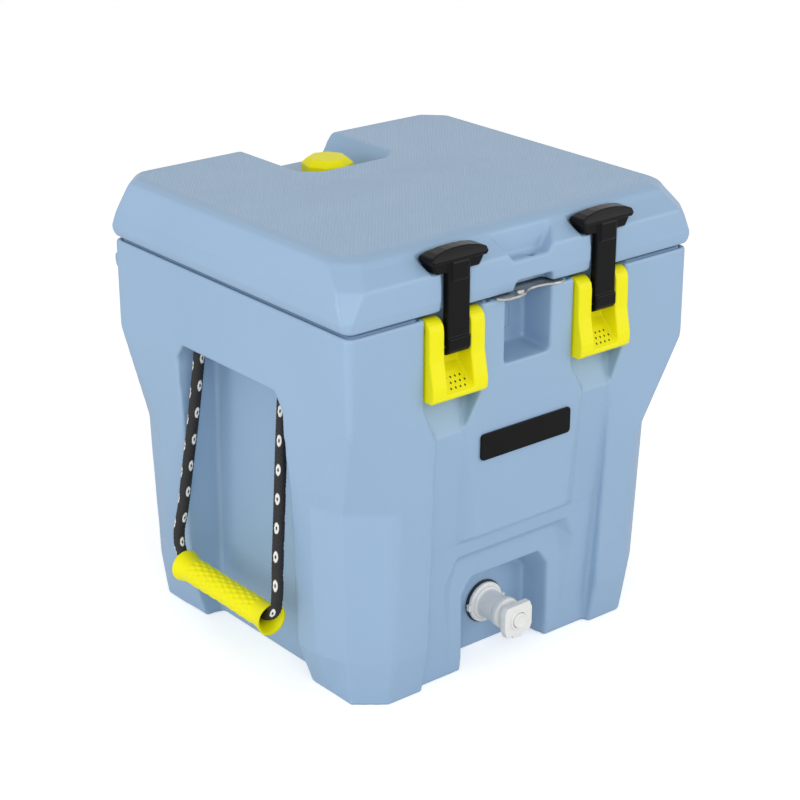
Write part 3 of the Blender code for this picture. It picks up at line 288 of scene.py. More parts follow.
@dataclass(frozen=True)
class LidMoulding(Finish):
    """The blue moulding with the diamond tread on the lid's flat top and its bare label field."""

    top: float = 0.4608
    half_x: float = 0.196
    near_y: float = -0.162
    far_y: float = 0.178
    label_x: float = 0.116
    label_y: tuple[float, float] = (-0.006, 0.031)
    groove_way: tuple[float, float] = (0.775, -0.632)
    groove_pitch: float = 0.0031
    cross_way: tuple[float, float] = (0.707, 0.707)
    cross_pitch: float = 0.0036
    stud: float = 0.0005

    def tread(self, graph: Graph) -> Socket:
        """Give the studs' height from 0 to 1: deep slanting grooves that shallower ones cross."""
        x, y, z = graph.parts(graph.place())
        edge = 0.0015
        area = graph.step(self.half_x - abs(x), 0.0, edge) * graph.step(y, self.near_y, self.near_y + edge)
        area = area * graph.step(self.far_y - y, 0.0, edge) * (z > self.top)
        label = graph.step(self.label_x - abs(x), 0.0, edge) * graph.step(y - self.label_y[0], 0.0, edge)
        label = label * graph.step(self.label_y[1] - y, 0.0, edge)
        waves = []
        families = (self.groove_way, self.groove_pitch), (self.cross_way, self.cross_pitch)
        for (east, north), pitch in families:
            turn = 2 * math.pi / pitch
            waves.append((x * (east * turn) + y * (north * turn)).math("SINE"))
        return (waves[0] * 0.38 + waves[1] * 0.12 + 0.5) * area * (1 - label)

    def tones(self, graph: Graph) -> Socket:
        """Lighten the studs with a painted highlight on their raised tops."""
        # painted highlight: the raised studs are drawn lighter than the grooves
        light = tuple(min(1.0, part * 1.16) for part in self.colour)
        return graph.mix(self.tread(graph) * 0.8, super().tones(graph), light)

    def relief(self, graph: Graph) -> Socket:
        """Raise the studs."""
        return graph.bump(self.tread(graph), self.stud, super().relief(graph))


@dataclass(frozen=True)
class LeverMoulding(Finish):
    """The yellow moulding with the rows of small holes in each lever's sloped grip."""

    centre_x: float = 0.093
    rows_z: tuple[float, ...] = (0.3255, 0.3295, 0.3335)
    pitch: float = 0.0056
    reach: float = 0.0125
    hole: float = 0.00085

    def holes(self, graph: Graph) -> Socket:
        """Give 1 in the holes: three rows, each moved on by half a pitch."""
        x, _, z = graph.parts(graph.place())
        across = abs(x) - self.centre_x
        total: Socket | None = None
        for index, height in enumerate(self.rows_z):
            shift = (index % 2) * 0.5
            beside = (((across / self.pitch + shift).math("FRACT")) - 0.5) * self.pitch
            apart = (beside * beside + (z - height) * (z - height)) ** 0.5
            dot = (1 - graph.step(apart, self.hole * 0.8, self.hole * 1.2)) * (abs(across) < self.reach)
            total = dot if total is None else total + dot
        return total

    def tones(self, graph: Graph) -> Socket:
        """Darken the holes with painted shade."""
        # painted shade: near-black colour inside each hole
        return graph.mix(self.holes(graph), super().tones(graph), (0.03, 0.03, 0.005))

    def relief(self, graph: Graph) -> Socket:
        """Sink the holes."""
        return graph.bump(self.holes(graph), -0.0008, super().relief(graph))


@dataclass(frozen=True)
class BrushedSteel(Finish):
    """Rolled steel with fine lines along X."""

    def relief(self, graph: Graph) -> Socket:
        """Give the lines as a noise that is drawn out along X."""
        lines = graph.noise(1.0, 3.0, 0.7, graph.stretch(graph.place(), (60.0, 5200.0, 5200.0)))
        return graph.bump(lines, 0.000012)

    def gloss(self, graph: Graph) -> Socket:
        """Vary the gloss from line to line."""
        lines = graph.noise(1.0, 2.0, 0.5, graph.stretch(graph.place(), (30.0, 1800.0, 1800.0)))
        return lines * 0.25 + (self.roughness - 0.1)


@dataclass(frozen=True)
class BraidedCord(Finish):
    """Black braid with pale flecks, on a map of metres along and turns round the cord."""

    fleck: Colour = (0.78, 0.77, 0.73)
    columns: int = 3
    spacing: float = 0.029
    half_long: float = 0.0062
    half_wide: float = 0.0029
    girth: float = 0.0377

    def tones(self, graph: Graph) -> Socket:
        """Lay rings of pale yarn, drawn out along the cord, on the black braid."""
        along, turn, _ = graph.parts(graph.place("UV"))
        column = (turn * self.columns).math("FLOOR")
        beside = ((turn * self.columns).math("FRACT") - 0.5) * (self.girth / self.columns / self.half_wide)
        share = (along / self.spacing + column / self.columns).math("FRACT")
        run = (share - 0.5) * (self.spacing / self.half_long)
        fray = (graph.noise(1800.0, 2.0) - 0.5) * 0.5
        radius = (beside * beside + run * run) ** 0.5 + fray
        ring = (1 - graph.step(radius, 0.85, 1.0)) * graph.step(radius, 0.25, 0.4)
        return graph.mix(ring, super().tones(graph), self.fleck)

    def relief(self, graph: Graph) -> Socket:
        """Give the fine threads of each yarn."""
        return graph.bump(graph.noise(2600.0, 3.0, 0.7), 0.0001)


BLUE = Finish("moulded_blue", "shell_blue", (0.285, 0.425, 0.600), 0.42)
LID_BLUE = LidMoulding("moulded_lid_blue", "shell_blue", (0.285, 0.425, 0.600), 0.42)
YELLOW = Finish("moulded_yellow", "yellow", (0.870, 0.820, 0.003), 0.40, shine=0.15)
LEVER_YELLOW = LeverMoulding("moulded_lever_yellow", "yellow", (0.860, 0.810, 0.004), 0.38, shine=0.2)
STRAP_BLACK = Finish("strap_rubber", "strap_black", (0.0045, 0.0046, 0.0050), 0.30, shade=0.2, shine=0.12)
SPIGOT_WHITE = Finish(
    "spigot_nylon", "spigot_white", (0.80, 0.80, 0.775), 0.28, grain_height=0.00001, shade=0.02)
LINER_WHITE = Finish("filler_plastic", "liner_white", (0.76, 0.77, 0.77), 0.40, shade=0.02)
STEEL = BrushedSteel("brushed_steel", "steel", (0.56, 0.54, 0.51), 0.34, metallic=1.0)
FOAM = Finish("rigid_foam", "foam", (0.72, 0.64, 0.42), 0.85, grain=500.0, grain_height=0.0004, shade=0.1)
SEAL = Finish("seal_rubber", "seal", (0.022, 0.022, 0.025), 0.55, shade=0.2)
BADGE = Finish("badge_black", "badge", (0.004, 0.004, 0.0045), 0.30, grain=1500.0, shade=0.1, shine=0.12)
ROPE = BraidedCord("braided_cord", "rope", (0.010, 0.010, 0.011), 0.72, shade=0.3)


# Meshes


class Side(Enum):
    """Which hand of the dispenser, seen from the front; the value is its sign along X."""

    LEFT = -1
    RIGHT = 1

    @property
    def word(self) -> str:
        """Give the name that the pieces carry."""
        return self.name.lower()


def dressed(piece: bpy.types.Object, finish: Finish) -> bpy.types.Object:
    """Give a piece one finish."""
    piece.data.materials.clear()
    piece.data.materials.append(finish.material())
    return piece


def placed(piece: bpy.types.Object, finish: Finish, body: str, *nodes: str) -> bpy.types.Object:
    """Dress a new piece, put it on its body and let it stand for its solids."""
    dressed(piece, finish)
    if nodes:
        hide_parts(*nodes)
    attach(piece, body)
    LOG.info("%s rides on %s, %d faces", piece.name, body, len(piece.data.polygons))
    return piece


def linked(name: str, mesh: bpy.types.Mesh) -> bpy.types.Object:
    """Put a mesh into the scene as a new object."""
    made = bpy.data.objects.new(name, mesh)
    bpy.context.scene.collection.objects.link(made)
    return made


def applied(piece: bpy.types.Object) -> bpy.types.Object:
    """Replace a piece's mesh by what its modifiers make of it."""
    seen = piece.evaluated_get(bpy.context.evaluated_depsgraph_get())
    mesh = bpy.data.meshes.new_from_object(seen)
    piece.modifiers.clear()
    piece.data = mesh
    return piece


def points_of(mesh: bpy.types.Mesh) -> np.ndarray:
    """Give a mesh's points as rows of three numbers."""
    flat = np.empty(len(mesh.vertices) * 3, np.float32)
    mesh.vertices.foreach_get("co", flat)
    return flat.reshape(-1, 3)


def grid(
    name: str, points: np.ndarray, ring: bool = False, along: np.ndarray | None = None
) -> bpy.types.Object:
    """Make a surface from rows of points that close on themselves across the row.

    Args:
        name: The object's name.
        points: Rows of points, (rows, columns, 3).
        ring: Whether the last row joins the first.
        along: Each row's distance, which becomes U of the piece's map; V is the turn from 0 to 1.

    Returns:
        The object, with its faces pointing out and its poles closed.
    """
    rows, columns = points.shape[:2]
    row = np.arange(rows if ring else rows - 1)[:, None]
    column = np.arange(columns)[None, :]
    after, beside = (row + 1) % rows, (column + 1) % columns
    quads = np.stack([row * columns + column, row * columns + beside, after * columns + beside,
                      after * columns + column], -1).reshape(-1, 4)
    mesh = bpy.data.meshes.new(name)
    mesh.vertices.add(rows * columns)
    mesh.vertices.foreach_set("co", points.astype(np.float32).ravel())
    mesh.loops.add(quads.size)
    mesh.loops.foreach_set("vertex_index", quads.astype(np.int32).ravel())
    mesh.polygons.add(len(quads))
    mesh.polygons.foreach_set("loop_start", np.arange(0, quads.size, 4, dtype=np.int32))
    mesh.update(calc_edges=True)
    if along is not None:
        start, end = along[row + 0 * column], along[after + 0 * column]
        turn = (column + 0 * row) / columns
        u = np.stack([start, start, end, end], -1)
        v = np.stack([turn, turn + 1 / columns, turn + 1 / columns, turn], -1)
        layer = mesh.uv_layers.new(name="UVMap")
        layer.data.foreach_set("uv", np.stack([u, v], -1).astype(np.float32).ravel())
    work = bmesh.new()
    work.from_mesh(mesh)
    bmesh.ops.remove_doubles(work, verts=work.verts, dist=1e-7)
    bmesh.ops.recalc_face_normals(work, faces=work.faces)
    work.to_mesh(mesh)
    work.free()
    mesh.shade_smooth()
    return linked(name, mesh)


def eased(corners: Sequence[Flat], radius: float, closed: bool = False, steps: int = CRISP) -> np.ndarray:
    """Round a line's corners: each becomes the parabola that leaves it a radius before and after.

    Args:
        corners: The line's points.
        radius: How far from a corner its curve starts, at most 0.45 of the shorter side.
        closed: Whether the last point joins the first.
        steps: Points to a curve.

    Returns:
        The eased line's points.
    """
    here = np.asarray(corners, float)
    before, after = np.roll(here, 1, 0) - here, np.roll(here, -1, 0) - here
    near, far = np.linalg.norm(before, axis=1), np.linalg.norm(after, axis=1)
    reach = np.minimum(radius, 0.45 * np.minimum(near, far))[:, None]
    start = here + before / near[:, None] * reach
    end = here + after / far[:, None] * reach
    t = np.linspace(0, 1, steps)[None, :, None]
    curve = start[:, None] * (1 - t) ** 2 + here[:, None] * 2 * t * (1 - t) + end[:, None] * t**2
    if closed:
        return curve.reshape(-1, 2)
    return np.vstack([here[:1], curve[1:-1].reshape(-1, 2), here[-1:]])


def turned(profile: np.ndarray, centre: Sequence[float], sides: int = 96) -> np.ndarray:
    """Turn a profile of (radius, place along Y) round an axis along Y and give the grid of points."""
    angle = np.linspace(0, 2 * math.pi, sides, endpoint=False)[None, :]
    radius, along = profile[:, :1], profile[:, 1:]
    made = np.stack([radius * np.cos(angle), along + 0 * angle, radius * np.sin(angle)], -1)
    return made + np.asarray(centre)


class Form:
    """Closed solids that are fused, skinned and relaxed into one moulding with rounded edges."""

    def __init__(self) -> None:
        """Start with nothing."""
        self.work = bmesh.new()

    def node(self, name: str) -> "Form":
        """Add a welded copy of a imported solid."""
        self.work.from_mesh(FRAME["nodes"][name].data)
        bmesh.ops.remove_doubles(self.work, verts=self.work.verts, dist=1e-5)
        return self

    def hull(self, points: Sequence[Sequence[float]]) -> "Form":
        """Add the smallest convex solid round points in millimetres."""
        part = bmesh.new()
        for point in points:
            part.verts.new(Vector(point) * MM)
        made = bmesh.ops.convex_hull(part, input=part.verts)
        inner = made["geom_interior"] + made["geom_unused"]
        spare = {item for item in inner if isinstance(item, bmesh.types.BMVert)}
        bmesh.ops.delete(part, geom=list(spare), context="VERTS")
        bmesh.ops.recalc_face_normals(part, faces=part.faces)
        mesh = bpy.data.meshes.new("part")
        part.to_mesh(mesh)
        part.free()
        self.work.from_mesh(mesh)
        bpy.data.meshes.remove(mesh)
        return self

    def prism(self, outline: Sequence[Sequence[float]], axis: str, low: float, high: float) -> "Form":
        """Add a convex outline, in millimetres in the other two axes, drawn out along an axis."""
        order = {"x": (2, 0, 1), "y": (0, 2, 1), "z": (0, 1, 2)}[axis]
        ends = [(a, b, t) for a, b in outline for t in (low, high)]
        return self.hull([tuple(point[index] for index in order) for point in ends])

    def less(self, tool: "Form") -> "Form":
        """Cut another form's solids out of these."""
        target, cutter = self.solid("target"), tool.solid("cutter")
        cut = target.modifiers.new("cut", "BOOLEAN")
        cut.operation, cut.solver, cut.use_self, cut.object = "DIFFERENCE", "EXACT", True, cutter
        applied(target)
        self.work = bmesh.new()
        self.work.from_mesh(target.data)
        for spent in (target, cutter):
            bpy.data.objects.remove(spent)
        return self

    def solid(self, name: str) -> bpy.types.Object:
        """Give the solids as one plain object."""
        mesh = bpy.data.meshes.new(name)
        self.work.to_mesh(mesh)
        self.work.free()
        return linked(name, mesh)

    def moulded(self, name: str, cell: float, passes: int, most: int) -> bpy.types.Object:
        """Skin the solids with cells, relax the skin and lay its flats back on the solids.

        A point goes back to the nearest place on the solids where relaxing moved it by less
        than a twelfth of a cell, stays where it moved further than a third, and lies between in between.

        Args:
            name: The object's name.
            cell: The skin's cell, in metres.
            passes: How many times each point moves half way to its neighbours' middle.
            most: The most triangles that the piece may have.

        Returns:
            The moulding.
        """
        solid = self.solid(name + "_solid")
        piece = linked(name, solid.data.copy())
        skin = piece.modifiers.new("skin", "REMESH")
        skin.mode, skin.voxel_size = "VOXEL", cell
        relax = piece.modifiers.new("relax", "SMOOTH")
        relax.factor, relax.iterations = 0.5, passes
        applied(piece)
        loose = points_of(piece.data)
        wrap = piece.modifiers.new("wrap", "SHRINKWRAP")
        wrap.target, wrap.wrap_method = solid, "NEAREST_SURFACEPOINT"
        seen = piece.evaluated_get(bpy.context.evaluated_depsgraph_get())
        tight = points_of(seen.to_mesh())
        seen.to_mesh_clear()
        piece.modifiers.clear()
        moved = np.linalg.norm(loose - tight, axis=1)[:, None] / cell
        share = np.clip((moved - 1 / 12) / (1 / 3 - 1 / 12), 0, 1)
        share = share * share * (3 - 2 * share)
        piece.data.vertices.foreach_set("co", (tight + (loose - tight) * share).ravel())
        piece.data.update()
        bpy.data.objects.remove(solid)
        count = 2 * len(piece.data.polygons)
        if count > most:
            fewer = piece.modifiers.new("fewer", "DECIMATE")
            fewer.ratio = most / count
            applied(piece)
        piece.data.shade_smooth()
        LOG.info("%s: %d skin triangles, %d kept", name, count, len(piece.data.polygons))
        return piece


def rounds(centre: Flat, radius: float, start: float, end: float, steps: int) -> list[Flat]:
    """Give points on an arc, with angles in degrees."""
    angles = np.radians(np.linspace(start, end, steps + 1))
    return [(centre[0] + radius * math.cos(a), centre[1] + radius * math.sin(a)) for a in angles]


def block(across: Flat, up: Flat) -> list[Flat]:
    """Give a rectangle's corners, in turn, from its ends along either axis."""
    return [(across[0], up[0]), (across[1], up[0]), (across[1], up[1]), (across[0], up[1])]


def edged(node: str, finish: Finish, width: float, angle: float = 35.0) -> bpy.types.Object:
    """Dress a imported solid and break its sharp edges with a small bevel."""
    piece = dressed(FRAME["nodes"][node], finish)
    weld = piece.modifiers.new("weld", "WELD")
    weld.merge_threshold = 1e-5
    bevel = piece.modifiers.new("edges", "BEVEL")
    bevel.width, bevel.segments, bevel.limit_method = width, 2, "ANGLE"
    bevel.angle_limit = math.radians(angle)
    return piece


# Sub-assemblies


@dataclass
class Mouldings:
    """The blue shells, the tank and the lid's liner, with the soft edges of rotational moulding."""

    cell: float = 0.002
    passes: int = 9
    most: int = 190000

    def build(self) -> None:
        """Build and place the four mouldings."""
        body = Form().node("outer_shell").moulded("body_moulding", self.cell, self.passes, self.most)
        placed(body, BLUE, "body", "outer_shell")
        lid = Form().node("lid_shell").moulded("lid_moulding", self.cell * 0.85, self.passes, self.most)
        placed(lid, LID_BLUE, "lid", "lid_shell")
        tank = Form().node("inner_liner").moulded("tank_moulding", self.cell * 1.1, 7, 60000)
        placed(tank, BLUE, "body", "inner_liner")
        liner = Form().node("lid_liner").moulded("lid_liner_moulding", self.cell * 1.1, 5, 50000)
        placed(liner, BLUE, "lid", "lid_liner")


@dataclass
class Niche:
    """The bare raised frame on the back wall of the hollow under the bottle opener."""

    half: float = 12.0
    low: float = 346.0
    high: float = 374.0
    wall: float = -154.0
    bar: float = 2.2
    proud: float = 1.0
    root: float = 0.8

    def build(self) -> None:
        """Build and place the frame."""
        form = Form()
        ends = (self.wall - self.proud, self.wall + self.root)
        for x in (-self.half, self.half - self.bar):
            form.prism(block((x, x + self.bar), (self.low, self.high)), "y", *ends)
        for z in (self.low, self.high - self.bar):
            form.prism(block((-self.half, self.half), (z, z + self.bar)), "y", *ends)
        placed(form.moulded("niche_frame", 0.0004, 3, 20000), BLUE, "body")


@dataclass
class Latch:
    """One latch: a yellow lever with two rails and the black T strap that it pulls down."""

    side: Side
    middle: float = 93.0
    front: float = -200.0
    back: float = -192.0
    bar_low: float = 438.4
    crown: tuple[Point, ...] = (
        (33.0, 0.0, 13.0), (32.0, 2.0, 17.0), (25.0, 3.5, 19.6), (14.0, 4.5, 21.6), (5.0, 5.0, 22.2))
    bar_near: float = -202.2
    bar_far: float = -180.2
    pin_y: float = -194.0
    pin_z: float = 366.0

    def box(self, half: float, near: float, far: float, low: float, high: float) -> list[Point]:
        """Give the corners of a block that is centred on the strap."""
        middle = self.middle * self.side.value
        return [(middle + sign * half, y, z) for sign in (-1, 1) for y in (near, far) for z in (low, high)]

    def strap(self) -> bpy.types.Object:
        """Build the strap: a crowned cap over a narrower block, a stem with a raised middle, and a foot."""
        form, top, middle = Form(), self.bar_low, self.middle * self.side.value
        cap = self.box(31.5, self.bar_near + 1, self.bar_far - 1, top + 9.5, top + 10.5)
        for half, inset, rise in self.crown:
            cap += self.box(half, self.bar_near + inset, self.bar_far - inset, top + rise, top + rise)
        form.hull(cap)
        form.hull(self.box(25.0, self.bar_near + 3.5, self.bar_far - 1, top, top) +
                  self.box(30.0, self.bar_near + 3.5, self.bar_far - 1, top + 8, top + 12))
        form.hull(self.box(13.0, self.front, self.back, self.pin_z, top + 8))
        form.hull(self.box(10.0, self.front - 1.9, self.back, top - 7, top + 9) +
                  self.box(9.0, self.front - 0.4, self.back, top - 9, top - 7))
        outline = rounds((self.pin_y, self.pin_z), 8.0, 180, 360, 12)
        outline += [(self.front - 2.0, self.pin_z + 9), (self.pin_y + 8, self.pin_z + 9)]
        form.prism(outline, "x", middle - 13, middle + 13)
        return form.moulded(f"strap_{self.side.word}_moulding", 0.0007, 4, 60000)

    def build(self) -> None:
        """Build and place the lever and the strap."""
        word = self.side.word
        lever = Form().node(f"latch_lever_{word}").moulded(f"lever_{word}_moulding", 0.0008, 9, 60000)
        placed(lever, LEVER_YELLOW, f"lever_{word}", f"latch_lever_{word}")
        placed(self.strap(), STRAP_BLACK, f"strap_{word}", f"latch_strap_{word}")


@dataclass
class Spigot:
    """The push-button valve, on an axis along Y: body, bonnet with finger wings, and button."""

    height: float = 47.0
    face: float = -136.6
    front: float = -140.6
    mouth: float = -163.6
    tip: float = -104.2
    seat: float = -126.8
    wing_front: float = -189.0
    wing_thick: float = 7.0
    wing_outline: tuple[Flat, ...] = (
        (-15, 16.5), (15, 16.5), (18, 9.5), (18, -9.5), (15, -16.5), (-15, -16.5), (-18, -9.5), (-18, 9.5))
    key_half: float = 3.4
    room: float = -170.2

    @property
    def centre(self) -> Point:
        """Give a point on the axis, in metres."""
        return (0.0, 0.0, self.height * MM)

    def lathe(self, name: str, corners: Sequence[Flat], ease: float, ring: bool) -> bpy.types.Object:
        """Turn an eased profile, in millimetres, round the spigot's axis."""
        profile = eased(corners, ease, ring) * MM
        return grid(name, turned(profile, self.centre), ring)

    def valve(self) -> bpy.types.Object:
        """Build the body: threaded tail, flange with a raised ring, barrel with an outlet below."""
        face, front, mouth = self.face, self.front, self.mouth
        thread = [(7.6 + 0.4 * (index % 2), self.tip - 1 - index * 1.1) for index in range(18)]
        profile = [(6.2, self.tip), (7.4, self.tip), *thread, (8.0, face), (21.0, face), (21.5, face - 0.6)]
        profile += [(21.5, front + 0.8), (20.4, front), (18.2, front), (17.6, front - 2.0)]
        profile += [(15.6, front - 2.4), (15.0, front - 3.6), (14.8, mouth + 1), (14.2, mouth)]
        profile += [(12.0, mouth), (12.0, front - 3), (4.2, front - 3), (4.2, self.seat), (6.2, self.seat)]
        body = self.lathe("spigot_valve", profile, 0.6, True)
        middle = (self.front + self.mouth) / 2
        rod = Form().prism(rounds((0.0, middle), 5.0, 0, 345, 23), "z", self.height - 20, self.height - 4)
        cutter = rod.solid("outlet")
        cut = body.modifiers.new("outlet", "BOOLEAN")
        cut.operation, cut.solver, cut.object = "DIFFERENCE", "EXACT", cutter
        applied(body)
        bpy.data.objects.remove(cutter)
        body.data.shade_smooth()
        body.data.set_sharp_from_angle(angle=math.radians(50))
        return body

    def tabs(self) -> bpy.types.Object:
        """Build the two keys that stand out of the flange's sides."""
        form = Form()
        rise = (self.height - self.key_half, self.height + self.key_half)
        for near, far in ((-24.2, -17.0), (17.0, 24.2)):
            form.prism(block((near, far), rise), "y", self.front - 0.6, self.face - 0.4)
        return form.moulded("spigot_keys", 0.0004, 3, 20000)

    def bonnet(self) -> bpy.types.Object:
        """Build the screwed cover: a fat round collar, a stepped neck and the button's bore."""
        mouth, front = self.mouth - 0.3, self.wing_front
        collar = [(11.7, mouth + 6), (11.7, mouth), (14.6, mouth), (16.5, mouth - 1.6), (16.5, mouth - 7.6)]
        neck = [(14.6, mouth - 9.3), (12.0, mouth - 9.8), (11.4, mouth - 12), (11.4, front + 6.5)]
        rim = [(10.9, front + 5), (10.9, front - 1.2), (10.2, front - 1.9), (8.9, front - 1.9)]
        bore = [(8.4, front - 1.3), (8.4, self.room), (3.0, self.room), (3.0, mouth + 6)]
        return self.lathe("spigot_collar", collar + neck + rim + bore, 1.3, True)

    def wings(self) -> bpy.types.Object:
        """Build the finger plate with clipped corners and a key below."""
        z, front, back = self.height, self.wing_front, self.wing_front + self.wing_thick
        form = Form().prism([(a, b + z) for a, b in self.wing_outline], "y", front, back)
        form.prism(block((-6, 6), (z - 20, z - 14)), "y", front + 1, back - 0.5)
        form.less(Form().prism(rounds((0.0, z), 9.6, 3, 348, 23), "y", front - 5, back + 5))
        return form.moulded("spigot_wings", 0.0005, 5, 50000)

    def button(self) -> bpy.types.Object:
        """Build the button: a dished face with a raised rim, on its stem."""
        front, stem = self.wing_front - 3.5, 2.6
        profile = [(0.0, front + 0.7), (4.8, front + 0.6), (5.8, front), (7.3, front), (8.0, front + 0.9)]
        profile += [(8.0, front + 8), (stem, front + 8), (stem, self.seat + 9), (4.5, self.seat + 9)]
        profile += [(4.5, self.seat + 10.5), (0.0, self.seat + 10.5)]
        return self.lathe("spigot_button_head", profile, 0.5, False)

    def build(self) -> None:
        """Build and place the spigot's pieces."""
        placed(self.valve(), SPIGOT_WHITE, "body", "spigot_body")
        placed(self.tabs(), SPIGOT_WHITE, "body")
        placed(self.bonnet(), SPIGOT_WHITE, "body", "spigot_bonnet")
        placed(self.wings(), SPIGOT_WHITE, "body")
        placed(self.button(), SPIGOT_WHITE, "button", "spigot_button")


@dataclass
class Filler:
    """The eight-sided yellow cap in the lid's rear pocket."""

    def build(self) -> None:
        """Build and place the cap."""
        cap = Form().node("fill_cap").moulded("cap_moulding", 0.0006, 5, 80000)
        placed(cap, YELLOW, "cap", "fill_cap")


@dataclass
class Handle:
    """One handle: a braided rope that hangs from two holes and runs through a dimpled grip."""

    side: Side
    rope_radius: float = 0.006
    rope_x: float = 0.198
    rope_y: float = 0.070
    pivot_z: float = 0.3075
    exit_z: float = 0.3132
    grip_x: float = 0.222
    grip_z: float = 0.0753
    grip_half: float = 0.075
    grip_bore: float = 0.008
    mouth: float = 0.0166
    bend: float = 0.024
    low_y: float = 0.061
    low_z: float = 0.077
    strands: int = 9
    lay: float = 0.0046
    yarn: float = 0.0007
    dimple: float = 0.0008

    def route(self) -> np.ndarray:
        """Give the rope's middle line, evenly spaced, as a smooth curve through its route's points."""
        x, y, z = self.rope_x, self.rope_y, self.pivot_z
        drop = [(x, y, self.exit_z), (x, y, z), (x + 0.0026, y + 0.001, z - 0.024)]
        drop += [(x + 0.008, y + 0.004, z - 0.072), (x + 0.014, y + 0.008, z - 0.122)]
        drop += [(x + 0.0195, y + 0.0115, z - 0.168)]
        drop += [(self.grip_x - 0.001, self.low_y + self.bend, self.low_z + self.bend + 0.014)]
        turn = rounds((self.low_y, self.low_z + self.bend), self.bend, 0, -90, 5)
        half = drop + [(self.grip_x, a, b) for a, b in turn] + [(self.grip_x, self.low_y / 2, self.low_z)]
        line = [(a, -b, c) for a, b, c in half] + [(self.grip_x, 0.0, self.low_z)] + half[::-1]
        through = np.array(line) * (self.side.value, 1, 1)
        through = np.vstack([2 * through[0] - through[1], through, 2 * through[-1] - through[-2]])
        a, b, c, d = (through[shift:len(through) - 3 + shift, None, :] for shift in range(4))
        t = np.linspace(0, 1, 24, endpoint=False)[None, :, None]
        bent = 2 * b + (c - a) * t + (2 * a - 5 * b + 4 * c - d) * t**2 + (3 * b - a - 3 * c + d) * t**3
        dense = np.vstack([0.5 * bent.reshape(-1, 3), through[-2]])
        run = np.concatenate([[0], np.cumsum(np.linalg.norm(np.diff(dense, axis=0), axis=1))])
        even = np.linspace(0, run[-1], int(run[-1] / 0.0008) + 1)
        return np.stack([np.interp(even, run, dense[:, axis]) for axis in range(3)], -1)

    def rope(self) -> tuple[bpy.types.Object, np.ndarray]:
        """Build the braid as a tube whose radius rises over each strand.

        Two families of strands wind opposite ways. A strand's crown follows the sine across its
        width, and strands go over and under each other in turn.

        Returns:
            The rope and its middle line.
        """
        line = self.route()
        step = np.gradient(line, axis=0)
        run = np.concatenate([[0], np.cumsum(np.linalg.norm(np.diff(line, axis=0), axis=1))])
        forward = step / np.linalg.norm(step, axis=1)[:, None]
        beside = np.cross(forward, (1.0, 0.0, 0.0))
        beside /= np.linalg.norm(beside, axis=1)[:, None]
        over = np.cross(beside, forward)
        columns = 72
        turn = np.arange(columns)[None, :] / columns
        first = turn * self.strands + run[:, None] / self.lay
        second = turn * self.strands - run[:, None] / self.lay
        upper = (np.floor(first) + np.floor(second)) % 2 == 0
        across = np.where(upper, first, second)
        length = np.where(upper, second, first)
        crown = np.sin(np.pi * (across % 1)) ** 0.6 * (0.45 + 0.55 * np.sin(np.pi * (length % 1)))
        radius = self.rope_radius - self.yarn * (1 - crown)
        angle = 2 * np.pi * turn
        points = line[:, None] + radius[..., None] * (
            np.cos(angle)[..., None] * beside[:, None] + np.sin(angle)[..., None] * over[:, None])
        ends = [np.repeat(line[end][None, None], columns, 1) for end in (0, -1)]
        rows = np.vstack([ends[0], points, ends[1]])
        made = grid(f"rope_{self.side.word}_braid", rows, False, np.concatenate([[0], run, [run[-1]]]))
        return made, line

    def grip(self) -> bpy.types.Object:
        """Build the grip: a tube with flared ends and staggered rows of raised ovals."""
        end = self.grip_half
        mouth = self.mouth
        outer = [(-end, mouth), (-end + 0.0025, mouth - 0.0006), (-end + 0.009, mouth - 0.0026)]
        outer += [(-end + 0.017, 0.0131), (0, 0.0125)]
        outer += [(-a, r) for a, r in outer[-2::-1]]
        ease = eased(outer, 0.004, False, 6)
        along = np.linspace(-end, end, 300)
        radius = np.interp(along, ease[:, 0], ease[:, 1])[:, None]
        turn = np.arange(168)[None, :] / 168
        rows, cell = 13, 0.0078
        place = along[:, None] / cell
        row = np.floor(place)
        around = turn * rows + 0.5 * (row % 2)
        apart = ((around % 1 - 0.5) / 0.36) ** 2 + ((place % 1 - 0.5) / 0.40) ** 2
        middle = np.clip((end - 0.017 - np.abs(row * cell + cell / 2)) / 0.001, 0, 1)[:, 0][:, None]
        outside = radius + self.dimple * np.sqrt(np.clip(1 - apart, 0, 1)) * middle
        past = np.linspace(0.014, 0.004, 6)
        inner = self.bend - self.rope_radius
        lip = self.grip_bore + 0.0006 + inner
        flare = [(self.low_y + a, lip - math.sqrt(inner**2 - a**2)) for a in past]
        half = [*flare, (self.low_y - 0.002, self.grip_bore)]
        bore = eased(half + [(-a, r) for a, r in half[::-1]], 0.001, False, 4)
        inside = np.repeat(bore[:, 1][:, None], 168, 1)
        radii = np.vstack([outside, inside])
        places = np.concatenate([along, bore[:, 0]])[:, None] + 0 * turn
        angle = 2 * np.pi * turn
        points = np.stack([radii * np.cos(angle), places, radii * np.sin(angle)], -1)
        points += (self.side.value * self.grip_x, 0, self.grip_z)
        return grid(f"grip_{self.side.word}_moulding", points, True)

    def build(self) -> None:
        """Build and place the rope and its grip."""
        word = self.side.word
        rope, line = self.rope()
        dressed(rope, ROPE)
        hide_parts(f"rope_{word}")
        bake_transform(rope)
        placed(self.grip(), YELLOW, f"grip_{word}", f"grip_{word}")


